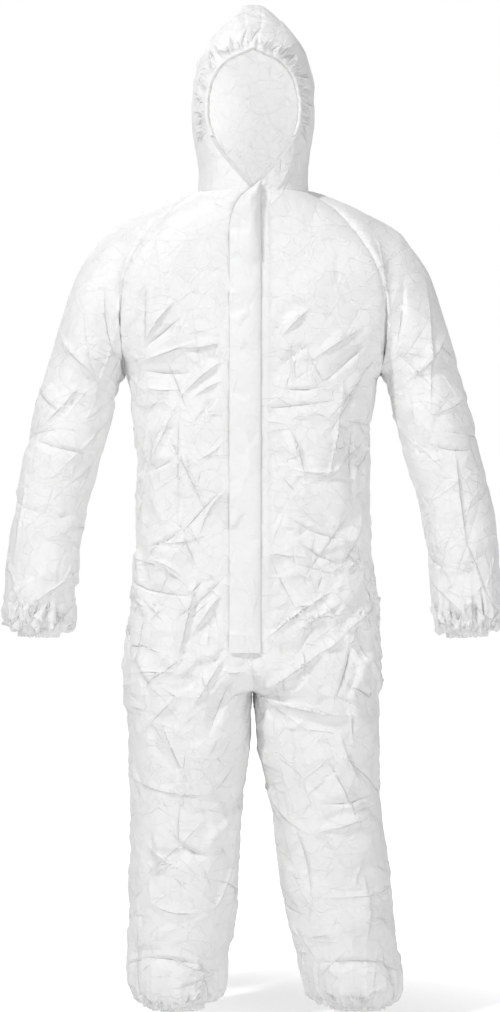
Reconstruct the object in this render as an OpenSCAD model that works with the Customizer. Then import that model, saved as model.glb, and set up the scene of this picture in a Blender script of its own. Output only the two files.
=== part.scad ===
// Hooded disposable protective coverall, filled out as it is worn.
// Millimetres, +Z up, the front faces -Y, the wearer's left is +X.
// The origin is the middle of the neck seam, where the suit hangs from the shoulders.

/* [Fabric] */
// Thickness that stands in for the laminate
fabric_t = 2.4; // [1.8:0.2:3]
// Clearance between pieces that move against each other
joint_gap = 0.6; // [0.5:0.1:1]

/* [Body] */
// Depth below the neck seam of the underarm points
armpit_d = 318; // [310:1:326]
// Depth below the neck seam of the crotch
crotch_d = 878; // [874:1:880]
// How far the front stands forward of the shoulder line
front_y = 120; // [116:1:124]

/* [Legs] */
// How far the wearer's right ankle stands out from its hip
right_splay = 22; // [10:1:40]
// How far the wearer's left ankle stands out from its hip
left_splay = 64; // [40:1:70]
// Inner radius of the gathered ankle opening
ankle_r = 45; // [42:1:47]

/* [Sleeves] */
// Inner radius of the gathered wrist opening
wrist_r = 31; // [28:1:32]

/* [Closure] */
// Depth below the neck seam of the zip's lower end
zip_end_d = 800; // [780:1:800]
// Distance of the flap's stitched edge from the zip
flap_hinge_x = 14; // [12:1:16]
// Distance of the flap's free edge from the zip
flap_free_x = 41; // [36:1:44]

/* [Hidden] */

right = -1;
left = 1;
front = -1;
back = 1;

// ---- Grid sizes: how many facets each piece gets ----
yoke_rows = 8;
across = 10;
neck_steps = 3;
crotch_rows = 5;
hood_cols = 12;
hood_sub = 2;

// ---- Gathered edges: a fabric channel with an elastic band in its groove ----
casing_wall = 1.4;
casing_length = 12;
elastic_t = 1;
elastic_length = 8;
facet_room = 0.3;
wrist_half = wrist_r + elastic_t + casing_wall + fabric_t + facet_room;
ankle_half = ankle_r + elastic_t + casing_wall + fabric_t + facet_room;

// ---- Shape tables: the first column is the depth below the neck seam ----
// [depth, half width, back depth] of the body between the underarms and the crotch
body_table = [
    [armpit_d, 224, 118], [360, 214, 110], [430, 206, 101], [500, 203, 98], [600, 208, 110],
    [700, 216, 128], [770, 223, 137], [830, 226, 137], [crotch_d, 223, 131], [884, 222, 130]
];
body_levels = [360, 405, 450, 500, 550, 600, 650, 700, 750, 780, 800];
// [depth below the hip, half width, front depth, back depth] of a leg
hip_d = 884;
leg_table = [
    [0, 110, 119, 129], [60, 108, 116, 124], [120, 105, 111, 117], [185, 99, 106, 111],
    [260, 98, 103, 107], [333, 98, 101, 103], [405, 94, 98, 99], [450, 90, 95, 96],
    [485, 90, 93, 93], [512, 84, 86, 86], [530, 73, 74, 74], [541, 60, 61, 61], [546, ankle_half, ankle_half, ankle_half]
];
hem_d = hip_d + leg_table[len(leg_table) - 1][0];
// Sleeve outline: [inner x, inner z, outer x, outer z, half depth, middle y], shoulder to wrist
sleeve_table = [
    [229, -322, 262, -66, 86, 0], [233, -327, 306, -129, 85, 0], [237, -336, 328, -184, 82, -1],
    [242, -357, 346, -243, 77, -3], [248, -392, 364, -308, 73, -6], [262, -440, 385, -385, 69, -10],
    [279, -500, 403, -462, 66, -15], [295, -560, 418, -535, 64, -20], [306, -630, 430, -612, 63, -26],
    [313, -695, 438, -684, 62, -31], [318, -735, 441, -726, 60, -34], [325, -756, 435, -750, 54, -35],
    [333, -767, 423, -763, 44, -35], [376 - wrist_half, -772, 376 + wrist_half, -769, wrist_half, -35]
];
// Where the front and back raglan seams run: points from the neck to the underarm
raglan_front = [[0, -25, 0], [150, -72, -38], [207, -92, -116], [229, -86, -190], [232, -56, -262], [224, 0, -318]];
raglan_back = [[0, 30, 0], [150, 76, -38], [205, 98, -116], [227, 92, -190], [231, 60, -262], [224, 0, -318]];
// Hood rows from the neck to the crown: heights at the front, side and back, half width,
// front and back depth, half width of the face opening, half width of the crown panel at front and back
hood_table = [
    [0, 8, 32, 98, 118, 78, 4, 4, 20], [50, 48, 62, 97, 112, 84, 46, 4, 24],
    [95, 95, 102, 103, 104, 98, 73, 5, 27], [145, 145, 150, 110, 99, 110, 83, 5, 28],
    [192, 197, 198, 107, 97, 115, 75, 5, 28], [228, 242, 234, 97, 98, 111, 47, 5, 27],
    [249, 268, 256, 84, 97, 105, 5, 5, 25], [266, 296, 275, 62, 91, 95, 8, 8, 21],
    [280, 322, 290, 38, 81, 84, 12, 12, 17], [290, 338, 302, 16, 68, 72, 15, 15, 15]
];
face_rows = 6 * hood_sub;
hood_rows = (len(hood_table) - 1) * hood_sub;
hood_middle = [0, 0, 130];
shoulder_middle = [120, 0, -170];
zip_edge_x = 4;
hood_square = 2.2;

// ---- Small helpers ----
function mix(a, b, t) = a + (b - a) * t;
function unit(v) = v / norm(v);
function power(x, e) = x <= 0 ? 0 : pow(x, e);
function hermite(p, q, m, n, t) =
    (2 * t * t * t - 3 * t * t + 1) * p + (t * t * t - 2 * t * t + t) * m
    + (3 * t * t - 2 * t * t * t) * q + (t * t * t - t * t) * n;
function place(keys, x) = max(0, min(len(keys) - 2, len([for (k = keys) if (k <= x) 1]) - 1));

// Smooth value at x of column k in a table that is sorted by its first column
function along(table, x, k) =
    let (keys = [for (r = table) r[0]], i = place(keys, x), last = len(table) - 1,
        h = keys[i + 1] - keys[i],
        before = max(0, i - 1), after = min(last, i + 2),
        m = (table[i + 1][k] - table[before][k]) / (keys[i + 1] - keys[before]) * h,
        n = (table[after][k] - table[i][k]) / (keys[after] - keys[i]) * h)
    hermite(table[i][k], table[i + 1][k], m, n, (x - keys[i]) / h);

// Smooth row at position x in a list of equally spaced rows
function between(rows, x) =
    let (last = len(rows) - 1, i = max(0, min(last - 1, floor(x))),
        m = (rows[i + 1] - rows[max(0, i - 1)]) / (i == 0 ? 1 : 2),
        n = (rows[min(last, i + 2)] - rows[i]) / (i == last - 1 ? 1 : 2))
    hermite(rows[i], rows[i + 1], m, n, x - i);

function flipped(points, sign) = [for (p = points) [p[0] * sign, p[1], p[2]]];
function six_volume(points, faces) =
    [for (f = faces) points[f[0]] * cross(points[f[1]], points[f[2]])] * [for (f = faces) 1];

// Closed solid between an outer and an inner grid of points. ring joins each row's two ends.
module shell(outer, inner, ring = false) {
    rows = len(outer);
    cols = len(outer[0]);
    last = ring ? cols - 1 : cols - 2;
    size = rows * cols;
    points = [for (r = outer) each r, for (r = inner) each r];
    at = function (i, j, s) s * size + i * cols + (j % cols);
    faces = [
        for (i = [0 : rows - 2], j = [0 : last]) each [
            [at(i, j, 0), at(i + 1, j, 0), at(i + 1, j + 1, 0)],
            [at(i, j, 0), at(i + 1, j + 1, 0), at(i, j + 1, 0)],
            [at(i, j, 1), at(i + 1, j + 1, 1), at(i + 1, j, 1)],
            [at(i, j, 1), at(i, j + 1, 1), at(i + 1, j + 1, 1)]
        ],
        for (j = [0 : last]) each [
            [at(0, j, 0), at(0, j + 1, 0), at(0, j + 1, 1)],
            [at(0, j, 0), at(0, j + 1, 1), at(0, j, 1)],
            [at(rows - 1, j, 0), at(rows - 1, j + 1, 1), at(rows - 1, j + 1, 0)],
            [at(rows - 1, j, 0), at(rows - 1, j, 1), at(rows - 1, j + 1, 1)]
        ],
        if (!ring) for (i = [0 : rows - 2]) each [
            [at(i, 0, 0), at(i, 0, 1), at(i + 1, 0, 1)],
            [at(i, 0, 0), at(i + 1, 0, 1), at(i + 1, 0, 0)],
            [at(i, cols - 1, 0), at(i + 1, cols - 1, 1), at(i, cols - 1, 1)],
            [at(i, cols - 1, 0), at(i + 1, cols - 1, 0), at(i + 1, cols - 1, 1)]
        ]
    ];
    outward = six_volume(points, faces) < 0;
    polyhedron(points, outward ? faces : [for (f = faces) [f[0], f[2], f[1]]], convexity = 8);
}

// Tube or ribbon of section [width, thickness] swept along a path whose turns lie near the XZ plane
module ribbon(path, width, thickness, sides = 6) {
    last = len(path) - 1;
    rings = [for (i = [0 : last])
        let (t = unit(path[min(last, i + 1)] - path[max(0, i - 1)]),
            side = unit(cross(t, [0, 1, 0])), out = cross(side, t))
        [for (k = [0 : sides - 1])
            path[i] + side * cos(360 * k / sides) * width / 2 + out * sin(360 * k / sides) * thickness / 2]];
    points = [for (r = rings) each r];
    faces = [
        for (i = [0 : last - 1], k = [0 : sides - 1]) each
            let (n = (k + 1) % sides)
            [[i * sides + k, (i + 1) * sides + k, (i + 1) * sides + n], [i * sides + k, (i + 1) * sides + n, i * sides + n]],
        for (k = [1 : sides - 2]) each
            [[0, k, k + 1], [last * sides, last * sides + k + 1, last * sides + k]]
    ];
    outward = six_volume(points, faces) < 0;
    polyhedron(points, outward ? faces : [for (f = faces) [f[0], f[2], f[1]]], convexity = 8);
}

// ---- Neck seam, shared by the hood and the body ----
neck = hood_table[0];
function neck_share(y) = y / (y < 0 ? neck[4] : neck[5]);
function neck_x(y) = neck[7] + (neck[3] - neck[7]) * power(1 - power(abs(neck_share(y)), hood_square), 1 / hood_square);
function neck_z(y) = let (q = neck_share(y))
    neck[1] + (neck[2] - neck[0]) / 2 * q + ((neck[0] + neck[2]) / 2 - neck[1]) * q * q;
function neck_point(y, from_x = 0) = [max(from_x, neck_x(y)), y, neck_z(y) - joint_gap];

// ---- Body: each half of the front or back is one grid from the neck to the hips ----
function raglan(face, t) =
    let (table = face == front ? raglan_front : raglan_back, start = neck_point(table[0][1]))
    t == 0 ? start : between([start, for (i = [1 : len(table) - 1]) table[i]], t * (len(table) - 1));
function toward(p, middle, inset) = p + inset * unit(middle - p);

function centre_y(face, t) = face == front ? -front_y : mix(mix(neck[5], 122, power(sin(90 * t), 0.8)), 118, t * t);
function centre_z(face, t) = mix(neck_z(face == front ? -neck[4] : neck[5]), -armpit_d, t);
function edge_x(face, d) = face == back ? 0.3 : d <= zip_end_d ? zip_edge_x : max(0.3, zip_edge_x - (d - zip_end_d) * 0.4);

// Row of the yoke: from the centre line to the raglan seam, at t from 0 at the neck to 1 at the underarm
function yoke_row(face, t, inset) =
    let (centre = [edge_x(face, 0), centre_y(face, t) - face * inset, centre_z(face, t)],
        seam = toward(raglan(face, t), shoulder_middle, inset),
        e = mix(1, 0.76, t), near = raglan(face, 0)[1], far = face == front ? -neck[4] : neck[5])
    [for (j = [0 : across]) let (u = j / across)
        t == 0
            ? let (y = near + (far - near) * power(cos(90 * u), 0.9),
                p = j == across ? raglan(face, 0) : neck_point(y, edge_x(face, 0)),
                q = [p[0], p[1] * (face == front ? mix(front_y / neck[4], 1, u) : 1), p[2]])
              j == 0 ? [edge_x(face, 0), q[1] - face * inset, q[2]] : toward(q, shoulder_middle, inset)
            : [mix(centre[0], seam[0], power(sin(90 * u), e)),
               mix(seam[1], centre[1], power(cos(90 * u), e)),
               mix(centre[2], seam[2], u)]];

// Angle at which a row starts on the centre plane: 90 at the belly, falling to 0 at the crotch
function start_angle(d) = d <= zip_end_d ? 90 : d >= crotch_d ? 0 : acos((d - zip_end_d) / (crotch_d - zip_end_d));

// Row of the body below the underarm
function body_row(face, d, inset) =
    let (from = start_angle(d), e = mix(0.9, 0.76, from / 90), edge = edge_x(face, d),
        half = along(body_table, d, 1), reach = power(cos(from), e),
        a = (half - edge) / (1 + reach), middle = edge + a * reach,
        depth = face == front ? front_y : along(body_table, d, 2),
        ai = a - inset, di = depth - inset)
    [for (j = [0 : across])
        let (w = mix(from, 180, j / across), c = cos(w), s = sin(w))
        [from == 90 && j == 0 ? edge : middle - ai * sign(c) * power(abs(c), e), face * di * power(s, e), -d]];

body_depths = [
    for (d = body_levels) d,
    for (k = [1 : crotch_rows]) zip_end_d + (crotch_d - zip_end_d) * sin(90 * k / crotch_rows),
    hip_d
];
function body_grid(face, inset) = [
    for (i = [0 : yoke_rows]) yoke_row(face, i / yoke_rows, inset),
    for (d = body_depths) body_row(face, d, inset)
];

module body_panel(side, face) {
    color("white")
        shell([for (r = body_grid(face, 0)) flipped(r, side)], [for (r = body_grid(face, fabric_t)) flipped(r, side)]);
}

// ---- Sleeve: the head runs from the raglan seam to the shoulder ring, the sleeve from there to the wrist ----
neck_ys = [for (k = [1 : neck_steps - 1]) mix(raglan_front[0][1], raglan_back[0][1], k / neck_steps)];
function armhole(inset) = [for (p = [
    for (i = [yoke_rows : -1 : 0]) raglan(front, i / yoke_rows),
    for (y = neck_ys) neck_point(y),
    for (i = [0 : yoke_rows - 1]) raglan(back, i / yoke_rows)
]) toward(p, shoulder_middle, inset)];
ring_count = 2 * yoke_rows + neck_steps;

function sleeve_ring(row, inset, shift = 0) =
    let (inner = [row[0] + shift, row[5], row[1]], outer = [row[2] + shift, row[5], row[3]],
        middle = (inner + outer) / 2, half = norm(inner - outer) / 2 - inset, down = unit(inner - outer))
    [for (k = [0 : ring_count - 1]) let (w = 360 * k / ring_count)
        middle + down * half * cos(w) - [0, row[4] - inset, 0] * sin(w)];

// The sleeve head leaves the body's surface sideways and arrives along the arm
head_rows = 5;
function head_row(t, inset) =
    let (a = armhole(inset), b = sleeve_ring(sleeve_table[0], inset))
    [for (k = [0 : ring_count - 1])
        let (gap = norm(b[k] - a[k]), leave = unit([1, sign(a[k][1]) * 0.35 * abs(sin(360 * k / ring_count)), -0.15]),
            arrive = unit([0.8, 0, -0.55]))
        hermite(a[k], b[k], leave * gap * 0.9, arrive * gap * 0.9, t)];

module sleeve_head(side) {
    color("white")
        shell([for (i = [0 : head_rows]) flipped(head_row(i / head_rows, 0), side)],
              [for (i = [0 : head_rows]) flipped(head_row(i / head_rows, fabric_t), side)], ring = true);
}

sleeve_sub = 2;
sleeve_steps = (len(sleeve_table) - 1) * sleeve_sub;
module sleeve(side) {
    grid = function (inset) [for (i = [0 : sleeve_steps])
        flipped(sleeve_ring(between(sleeve_table, i / sleeve_sub), inset, i == 0 ? joint_gap : 0), side)];
    color("white") shell(grid(0), grid(fabric_t), ring = true);
}

wrist_row = sleeve_table[len(sleeve_table) - 1];
wrist_middle = [(wrist_row[0] + wrist_row[2]) / 2, wrist_row[5], (wrist_row[1] + wrist_row[3]) / 2];
wrist_tilt = atan2(wrist_row[3] - wrist_row[1], wrist_row[2] - wrist_row[0]);
module gather_casing(r) {
    color("white") rotate_extrude($fn = 64) polygon([
        [r, -casing_length / 2], [r + elastic_t + casing_wall, -casing_length / 2],
        [r + elastic_t + casing_wall, casing_length / 2], [r, casing_length / 2],
        [r, elastic_length / 2], [r + elastic_t, elastic_length / 2],
        [r + elastic_t, -elastic_length / 2], [r, -elastic_length / 2]
    ]);
}
module gather_elastic(r) {
    color("ivory") rotate_extrude($fn = 64)
        translate([r, -elastic_length / 2]) square([elastic_t, elastic_length]);
}
module at_wrist(side) {
    translate([wrist_middle[0] * side, wrist_middle[1], wrist_middle[2]])
        rotate([0, -wrist_tilt * side, 0]) children();
}

// ---- Legs ----
function leg_middle_x(side, d) = 111 + 1.2 + (side == right ? right_splay : left_splay) * power(d / 500, 1.5);
function leg_middle_y(d) = 12 * power(d / 546, 1.3);
function leg_row(side, face, d, inset) =
    let (a = along(leg_table, d, 1) - inset, b = along(leg_table, d, face == front ? 2 : 3) - inset,
        e = mix(0.9, 1, min(1, d / 400)), z = -hip_d - d - (d == 0 ? joint_gap : 0))
    [for (j = [0 : across]) let (w = 180 * j / across, c = cos(w), s = sin(w))
        [side * (leg_middle_x(side, d) - a * sign(c) * power(abs(c), e)), leg_middle_y(d) + face * b * power(s, e), z]];
leg_depths = [
    for (i = [0 : len(leg_table) - 2]) each [leg_table[i][0], (leg_table[i][0] + leg_table[i + 1][0]) / 2],
    leg_table[len(leg_table) - 1][0]
];
module leg_panel(side, face) {
    color("white") shell([for (d = leg_depths) leg_row(side, face, d, 0)],
                         [for (d = leg_depths) leg_row(side, face, d, fabric_t)]);
}
module at_ankle(side) {
    d = hem_d - hip_d;
    translate([side * leg_middle_x(side, d), leg_middle_y(d), -hem_d]) children();
}

// ---- Hood ----
function hood_share(row) =
    row[6] <= row[7] ? 1 : power(1 - power((row[6] - row[7]) / (row[3] - row[7]), hood_square), 1 / hood_square);
function hood_point(row, q) =
    let (edge = mix(row[7], row[8], (q + 1) / 2))
    [edge + (row[3] - edge) * power(1 - power(abs(q), hood_square), 1 / hood_square),
     q < 0 ? q * row[4] : q * row[5],
     row[1] + (row[2] - row[0]) / 2 * q + ((row[0] + row[2]) / 2 - row[1]) * q * q];
function hood_row(i) = between(hood_table, i / hood_sub);
// Positions along a row from the face edge or the crown seam at the front to the crown seam at the back
function hood_line(i, inset) =
    let (row = hood_row(i), share = i >= face_rows ? 1 : hood_share(row))
    [for (j = [0 : hood_cols])
        let (w = mix(-90, 90, j / hood_cols), q = w < 0 ? -share * power(-sin(w), 0.85) : power(sin(w), 0.85))
        toward(hood_point(row, q), hood_middle, inset)];
module hood_side(side) {
    color("white") shell([for (i = [0 : hood_rows]) flipped(hood_line(i, 0), side)],
                         [for (i = [0 : hood_rows]) flipped(hood_line(i, fabric_t), side)]);
}

// Edge of the crown panel, from the forehead over the crown to the nape
function crown_edge(inset) = [
    for (i = [face_rows : hood_rows]) hood_line(i, inset)[0],
    for (j = [1 : hood_cols]) hood_line(hood_rows, inset)[j],
    for (i = [hood_rows - 1 : -1 : 0]) hood_line(i, inset)[hood_cols]
];
crown_lift = 1.5;
function crown_grid(inset) = [for (p = crown_edge(inset))
    let (up = unit([0, p[1], p[2] - hood_middle[2]]) * crown_lift)
    [p, [p[0] / 2, p[1], p[2]] + up * 0.8, [0, p[1], p[2]] + up, [-p[0] / 2, p[1], p[2]] + up * 0.8, [-p[0], p[1], p[2]]]];
module hood_crown() {
    color("white") shell(crown_grid(0), crown_grid(fabric_t));
}

// Edge of the hood on one side: rows of the zip part, then rows of the gathered part
zip_rows = 4;
function face_edge(i, push) =
    let (p = hood_line(i, 0)[0], middle = [0, p[1], 140])
    p + [0, -push * 0.45, 0] + unit(middle - p) * push;
hem_size = 4.4;
elastic_size = 2;
function face_loop(push) = [
    for (i = [zip_rows : face_rows - 1]) face_edge(i, push),
    for (i = [face_rows - 1 : -1 : zip_rows]) flipped([face_edge(i, push)], -1)[0]
];
module face_hem() {
    color("white") ribbon(face_loop(hem_size * 0.72), hem_size, hem_size, 8);
}
module face_elastic() {
    color("ivory") ribbon(face_loop(hem_size * 1.35 + elastic_size), elastic_size, elastic_size, 6);
}
tape_w = 9;
tape_t = 0.8;
module hood_zip_tape(side) {
    path = [for (i = [0 : zip_rows]) face_edge(i, tape_w * 0.62) + [0, 0, i == 0 ? 5 : 0]];
    color("gainsboro") ribbon(flipped(path, side), tape_w, tape_t, 4);
}

// ---- Waist ----
waist_d = 500;
waist_band = 22;
module waist_elastic() {
    layer = function (inset) [for (d = [waist_d - waist_band / 2, waist_d + waist_band / 2])
        let (row = body_row(back, d, inset))
        [for (j = [7 : -1 : 1]) row[j], for (j = [1 : 7]) flipped([row[j]], -1)[0]]];
    color("ivory") shell(layer(fabric_t + 0.4), layer(fabric_t + 1.6));
}

// ---- Zip: straight down the centre front ----
coil_w = 2.5;
coil_slit = 1.4;
coil_t = 2.6;
tape_inner_x = coil_slit / 2 + coil_w - 1;
zip_top_z = -6;
zip_length = zip_end_d - 6 + zip_top_z;
tape_front_y = -front_y + fabric_t + 0.5;
module zip_tape(side) {
    color("gainsboro") translate([side == left ? tape_inner_x : -tape_inner_x - 13, tape_front_y, -zip_end_d + 6])
        cube([13, tape_t, zip_length]);
}
module zip_coil(side) {
    color("snow") translate([side == left ? coil_slit / 2 : -coil_slit / 2 - coil_w, tape_front_y - coil_t, -zip_end_d + 12])
        cube([coil_w, coil_t, zip_length - 6]);
}
module zip_bottom_stop() {
    color("silver") translate([-4, tape_front_y - 3.4, -zip_end_d + 7]) cube([8, 3.4, 4]);
}
module zip_top_stops() {
    color("silver") for (side = [right, left])
        translate([side * (coil_slit / 2 + coil_w / 2) - coil_w / 2, tape_front_y - 2.7, zip_top_z + 0.1])
            cube([coil_w, 2.7, 2.4]);
}

slider_w = 9;
slider_h = 12;
slider_top_z = zip_top_z - 1;
slider_front_y = tape_front_y - coil_t - 1.9;
slider_back_y = tape_front_y + tape_t + 0.4;
plate_t = 1.3;
lug_r = 0.8;
lug_y = slider_front_y - 1.7;
lug_z = slider_top_z - slider_h / 2;
module zip_slider() {
    color("silver") {
        translate([-slider_w / 2, slider_front_y, slider_top_z - slider_h]) cube([slider_w, plate_t, slider_h]);
        translate([-slider_w / 2, slider_back_y, slider_top_z - slider_h]) cube([slider_w, plate_t, slider_h]);
        translate([-0.4, slider_front_y + 0.1, slider_top_z - 5]) cube([0.8, slider_back_y - slider_front_y + 0.2, 5]);
        for (x = [-3.2, 2])
            translate([x, lug_y - 1.3, lug_z - 1.6]) cube([1.2, 1.3 + 1.8, 3.2]);
        translate([-2.4, lug_y, lug_z]) rotate([0, 90, 0]) cylinder(r = lug_r, h = 4.8, $fn = 32);
    }
}
tab_length = 22;
tab_w = 3.2;
tab_t = 1.2;
module zip_pull_tab() {
    color("silver") difference() {
        union() {
            translate([-tab_w / 2, lug_y, lug_z]) rotate([0, 90, 0]) cylinder(r = 1.6, h = tab_w, $fn = 32);
            translate([-tab_w / 2, lug_y - 1.55, lug_z - tab_length]) cube([tab_w, tab_t, tab_length]);
            translate([-3.6, lug_y - 1.55, lug_z - tab_length]) cube([7.2, tab_t, 13]);
        }
        translate([-tab_w, lug_y, lug_z]) rotate([0, 90, 0]) cylinder(r = lug_r + 0.1, h = 2 * tab_w, $fn = 32);
    }
}

// ---- Storm flap: stitched down beside the zip, free on the other side, with a curved top ----
flap_t = 1.8;
flap_back_y = -front_y - 1;
flap_end_d = zip_end_d + 2;
// [height, how far the free edge reaches over the zip, how far the flap stands off the zip]
flap_table = [
    [-flap_end_d, flap_free_x, 8], [-640, flap_free_x, 8], [-480, flap_free_x, 8], [-320, flap_free_x, 8],
    [-200, flap_free_x, 9], [-120, flap_free_x, 11], [-62, flap_free_x, 15], [-44, 37, 15.5],
    [-28, 31, 15.5], [-12, 20, 15], [0, 5, 12], [8, -6, 7], [12, -11, 3]
];
flap_cols = 8;
function flap_line(row, inset) = [for (j = [0 : flap_cols]) let (u = j / flap_cols)
    [mix(flap_hinge_x, -row[1], u), flap_back_y - flap_t + inset - row[2] * power(sin(180 * power(u, 0.75)), 0.9), row[0]]];
module storm_flap() {
    color("whitesmoke") shell([for (r = flap_table) flap_line(r, 0)], [for (r = flap_table) flap_line(r, flap_t)]);
}

// ---- The assembly ----
body_panel(right, front);  // right_front_panel
body_panel(left, front);  // left_front_panel
body_panel(right, back);  // right_back_panel
body_panel(left, back);  // left_back_panel
sleeve_head(right);  // right_sleeve_head
sleeve_head(left);  // left_sleeve_head
sleeve(right);  // right_sleeve
sleeve(left);  // left_sleeve
at_wrist(right) gather_casing(wrist_r);  // right_wrist_casing
at_wrist(left) gather_casing(wrist_r);  // left_wrist_casing
at_wrist(right) gather_elastic(wrist_r);  // right_wrist_elastic
at_wrist(left) gather_elastic(wrist_r);  // left_wrist_elastic
leg_panel(right, front);  // right_front_leg
leg_panel(left, front);  // left_front_leg
leg_panel(right, back);  // right_back_leg
leg_panel(left, back);  // left_back_leg
at_ankle(right) gather_casing(ankle_r);  // right_ankle_casing
at_ankle(left) gather_casing(ankle_r);  // left_ankle_casing
at_ankle(right) gather_elastic(ankle_r);  // right_ankle_elastic
at_ankle(left) gather_elastic(ankle_r);  // left_ankle_elastic
hood_side(right);  // hood_right_panel
hood_side(left);  // hood_left_panel
hood_crown();  // hood_crown_panel
face_hem();  // face_opening_hem
face_elastic();
hood_zip_tape(right);  // hood_zip_tape_right
hood_zip_tape(left);  // hood_zip_tape_left
waist_elastic();
zip_tape(right);  // zip_tape_right
zip_tape(left);  // zip_tape_left
zip_coil(right);  // zip_coil_right
zip_coil(left);  // zip_coil_left
zip_bottom_stop();
zip_top_stops();
zip_slider();
zip_pull_tab();
storm_flap();
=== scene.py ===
import math

import bmesh
import bpy
import numpy as np
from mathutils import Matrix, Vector, kdtree, noise


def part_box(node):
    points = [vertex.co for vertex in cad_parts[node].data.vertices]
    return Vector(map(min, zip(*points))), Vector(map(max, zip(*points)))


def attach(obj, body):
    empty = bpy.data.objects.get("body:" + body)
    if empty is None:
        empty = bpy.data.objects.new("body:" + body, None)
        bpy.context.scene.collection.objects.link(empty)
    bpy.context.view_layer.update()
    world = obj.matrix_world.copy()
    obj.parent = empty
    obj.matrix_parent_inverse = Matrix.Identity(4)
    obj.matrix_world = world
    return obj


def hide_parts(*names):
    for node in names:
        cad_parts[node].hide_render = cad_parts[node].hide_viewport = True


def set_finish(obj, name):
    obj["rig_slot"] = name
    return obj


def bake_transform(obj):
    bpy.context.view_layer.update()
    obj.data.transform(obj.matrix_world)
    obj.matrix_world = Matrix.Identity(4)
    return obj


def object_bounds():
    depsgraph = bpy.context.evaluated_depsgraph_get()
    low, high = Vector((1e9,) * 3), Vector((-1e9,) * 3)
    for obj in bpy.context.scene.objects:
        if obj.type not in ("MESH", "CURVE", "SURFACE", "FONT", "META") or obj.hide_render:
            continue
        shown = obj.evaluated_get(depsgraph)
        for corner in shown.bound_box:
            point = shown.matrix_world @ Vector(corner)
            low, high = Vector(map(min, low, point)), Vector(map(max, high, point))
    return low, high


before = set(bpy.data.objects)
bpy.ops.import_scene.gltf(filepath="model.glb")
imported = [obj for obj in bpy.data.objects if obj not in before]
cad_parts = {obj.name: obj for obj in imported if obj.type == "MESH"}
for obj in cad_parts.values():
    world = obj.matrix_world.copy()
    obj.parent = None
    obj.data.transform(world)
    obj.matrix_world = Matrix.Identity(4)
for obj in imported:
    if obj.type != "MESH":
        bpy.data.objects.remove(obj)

CAD_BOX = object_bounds()
MM = 0.001
rng = np.random.default_rng(11)
noise.seed_set(11)  # unseeded, noise_vector differs from run to run


def linked(name, data):
    """A new object in the scene."""
    obj = bpy.data.objects.new(name, data)
    bpy.context.scene.collection.objects.link(obj)
    return obj


# ---------- camera
LOW, HIGH = CAD_BOX
DISTANCE, MARGIN, CAMERA_X = 4.6, 1.0095, -0.0055
FRAME_HEIGHT = (HIGH[2] - LOW[2]) * MARGIN
camera_data = bpy.data.cameras.new("camera")
camera_data.sensor_fit = "VERTICAL"
camera_data.sensor_height = 36
camera_data.lens = 18 / (FRAME_HEIGHT / 2 / DISTANCE)
camera_data.clip_end = 60
camera = linked("camera", camera_data)
camera.location = (CAMERA_X, -DISTANCE, (LOW[2] + HIGH[2]) / 2)
camera.rotation_euler = (math.radians(90), 0, 0)
bpy.context.scene.camera = camera

# ---------- the shape of the filled suit, in millimetres
# depths below the neck seam
ARMPIT, ZIP_END, CROTCH, HIP = 318.0, 800.0, 878.0, 884.0
FRONT_Y = 120.0
FRONT, BOTH, BACK = -1, 0, 1
GAP = 0.1  # between the hood and the suit at the neck seam
ZIP_EDGE = 4.0  # from the middle to each front edge
SPLAY = {-1: 22.0, 1: 64.0}  # how far outwards each leg has gone 500 below the hip
WRIST_R, ANKLE_R = 31.0, 45.0
CUFF_WALL = 4.8
# depth below the neck seam, half width, depth at the back
BODY = np.array([
    [318, 224, 118], [360, 214, 110], [430, 206, 101], [500, 203, 98], [600, 208, 110],
    [700, 216, 128], [770, 223, 137], [830, 226, 137], [878, 223, 131], [884, 222, 130]], float)
A_END = ANKLE_R + CUFF_WALL
# depth below the hip, half width, depth at the front, depth at the back
LEG = np.array([
    [0, 110, 119, 129], [60, 108, 116, 124], [120, 105, 111, 117], [185, 99, 106, 111],
    [260, 98, 103, 107], [333, 98, 101, 103], [405, 94, 98, 99], [450, 90, 95, 96],
    [485, 90, 93, 93], [512, 84, 86, 86], [530, 73, 74, 74], [541, 60, 61, 61],
    [546, A_END, A_END, A_END]], float)
W_END = WRIST_R + CUFF_WALL
# shoulder to wrist: inner edge x and z, outer edge x and z, half depth, middle y
SLEEVE = np.array([
    [229, -322, 262, -66, 86, 0], [233, -327, 306, -129, 85, 0], [237, -336, 328, -184, 82, -1],
    [242, -357, 346, -243, 77, -3], [248, -392, 364, -308, 73, -6], [262, -440, 385, -385, 69, -10],
    [279, -500, 403, -462, 66, -15], [295, -560, 418, -535, 64, -20], [306, -630, 430, -612, 63, -26],
    [313, -695, 438, -684, 62, -31], [318, -735, 441, -726, 60, -34], [325, -756, 435, -750, 54, -35],
    [333, -767, 423, -763, 44, -35], [376 - W_END, -772, 376 + W_END, -769, W_END, -35]], float)
# points of the raglan seams from the neck to the underarm
RAGLAN = {
    FRONT: [[0, -25, 0], [150, -72, -38], [207, -92, -116], [229, -86, -190], [232, -56, -262],
            [224, 0, -318]],
    BACK: [[0, 30, 0], [150, 76, -38], [205, 98, -116], [227, 92, -190], [231, 60, -262],
           [224, 0, -318]]}
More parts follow.
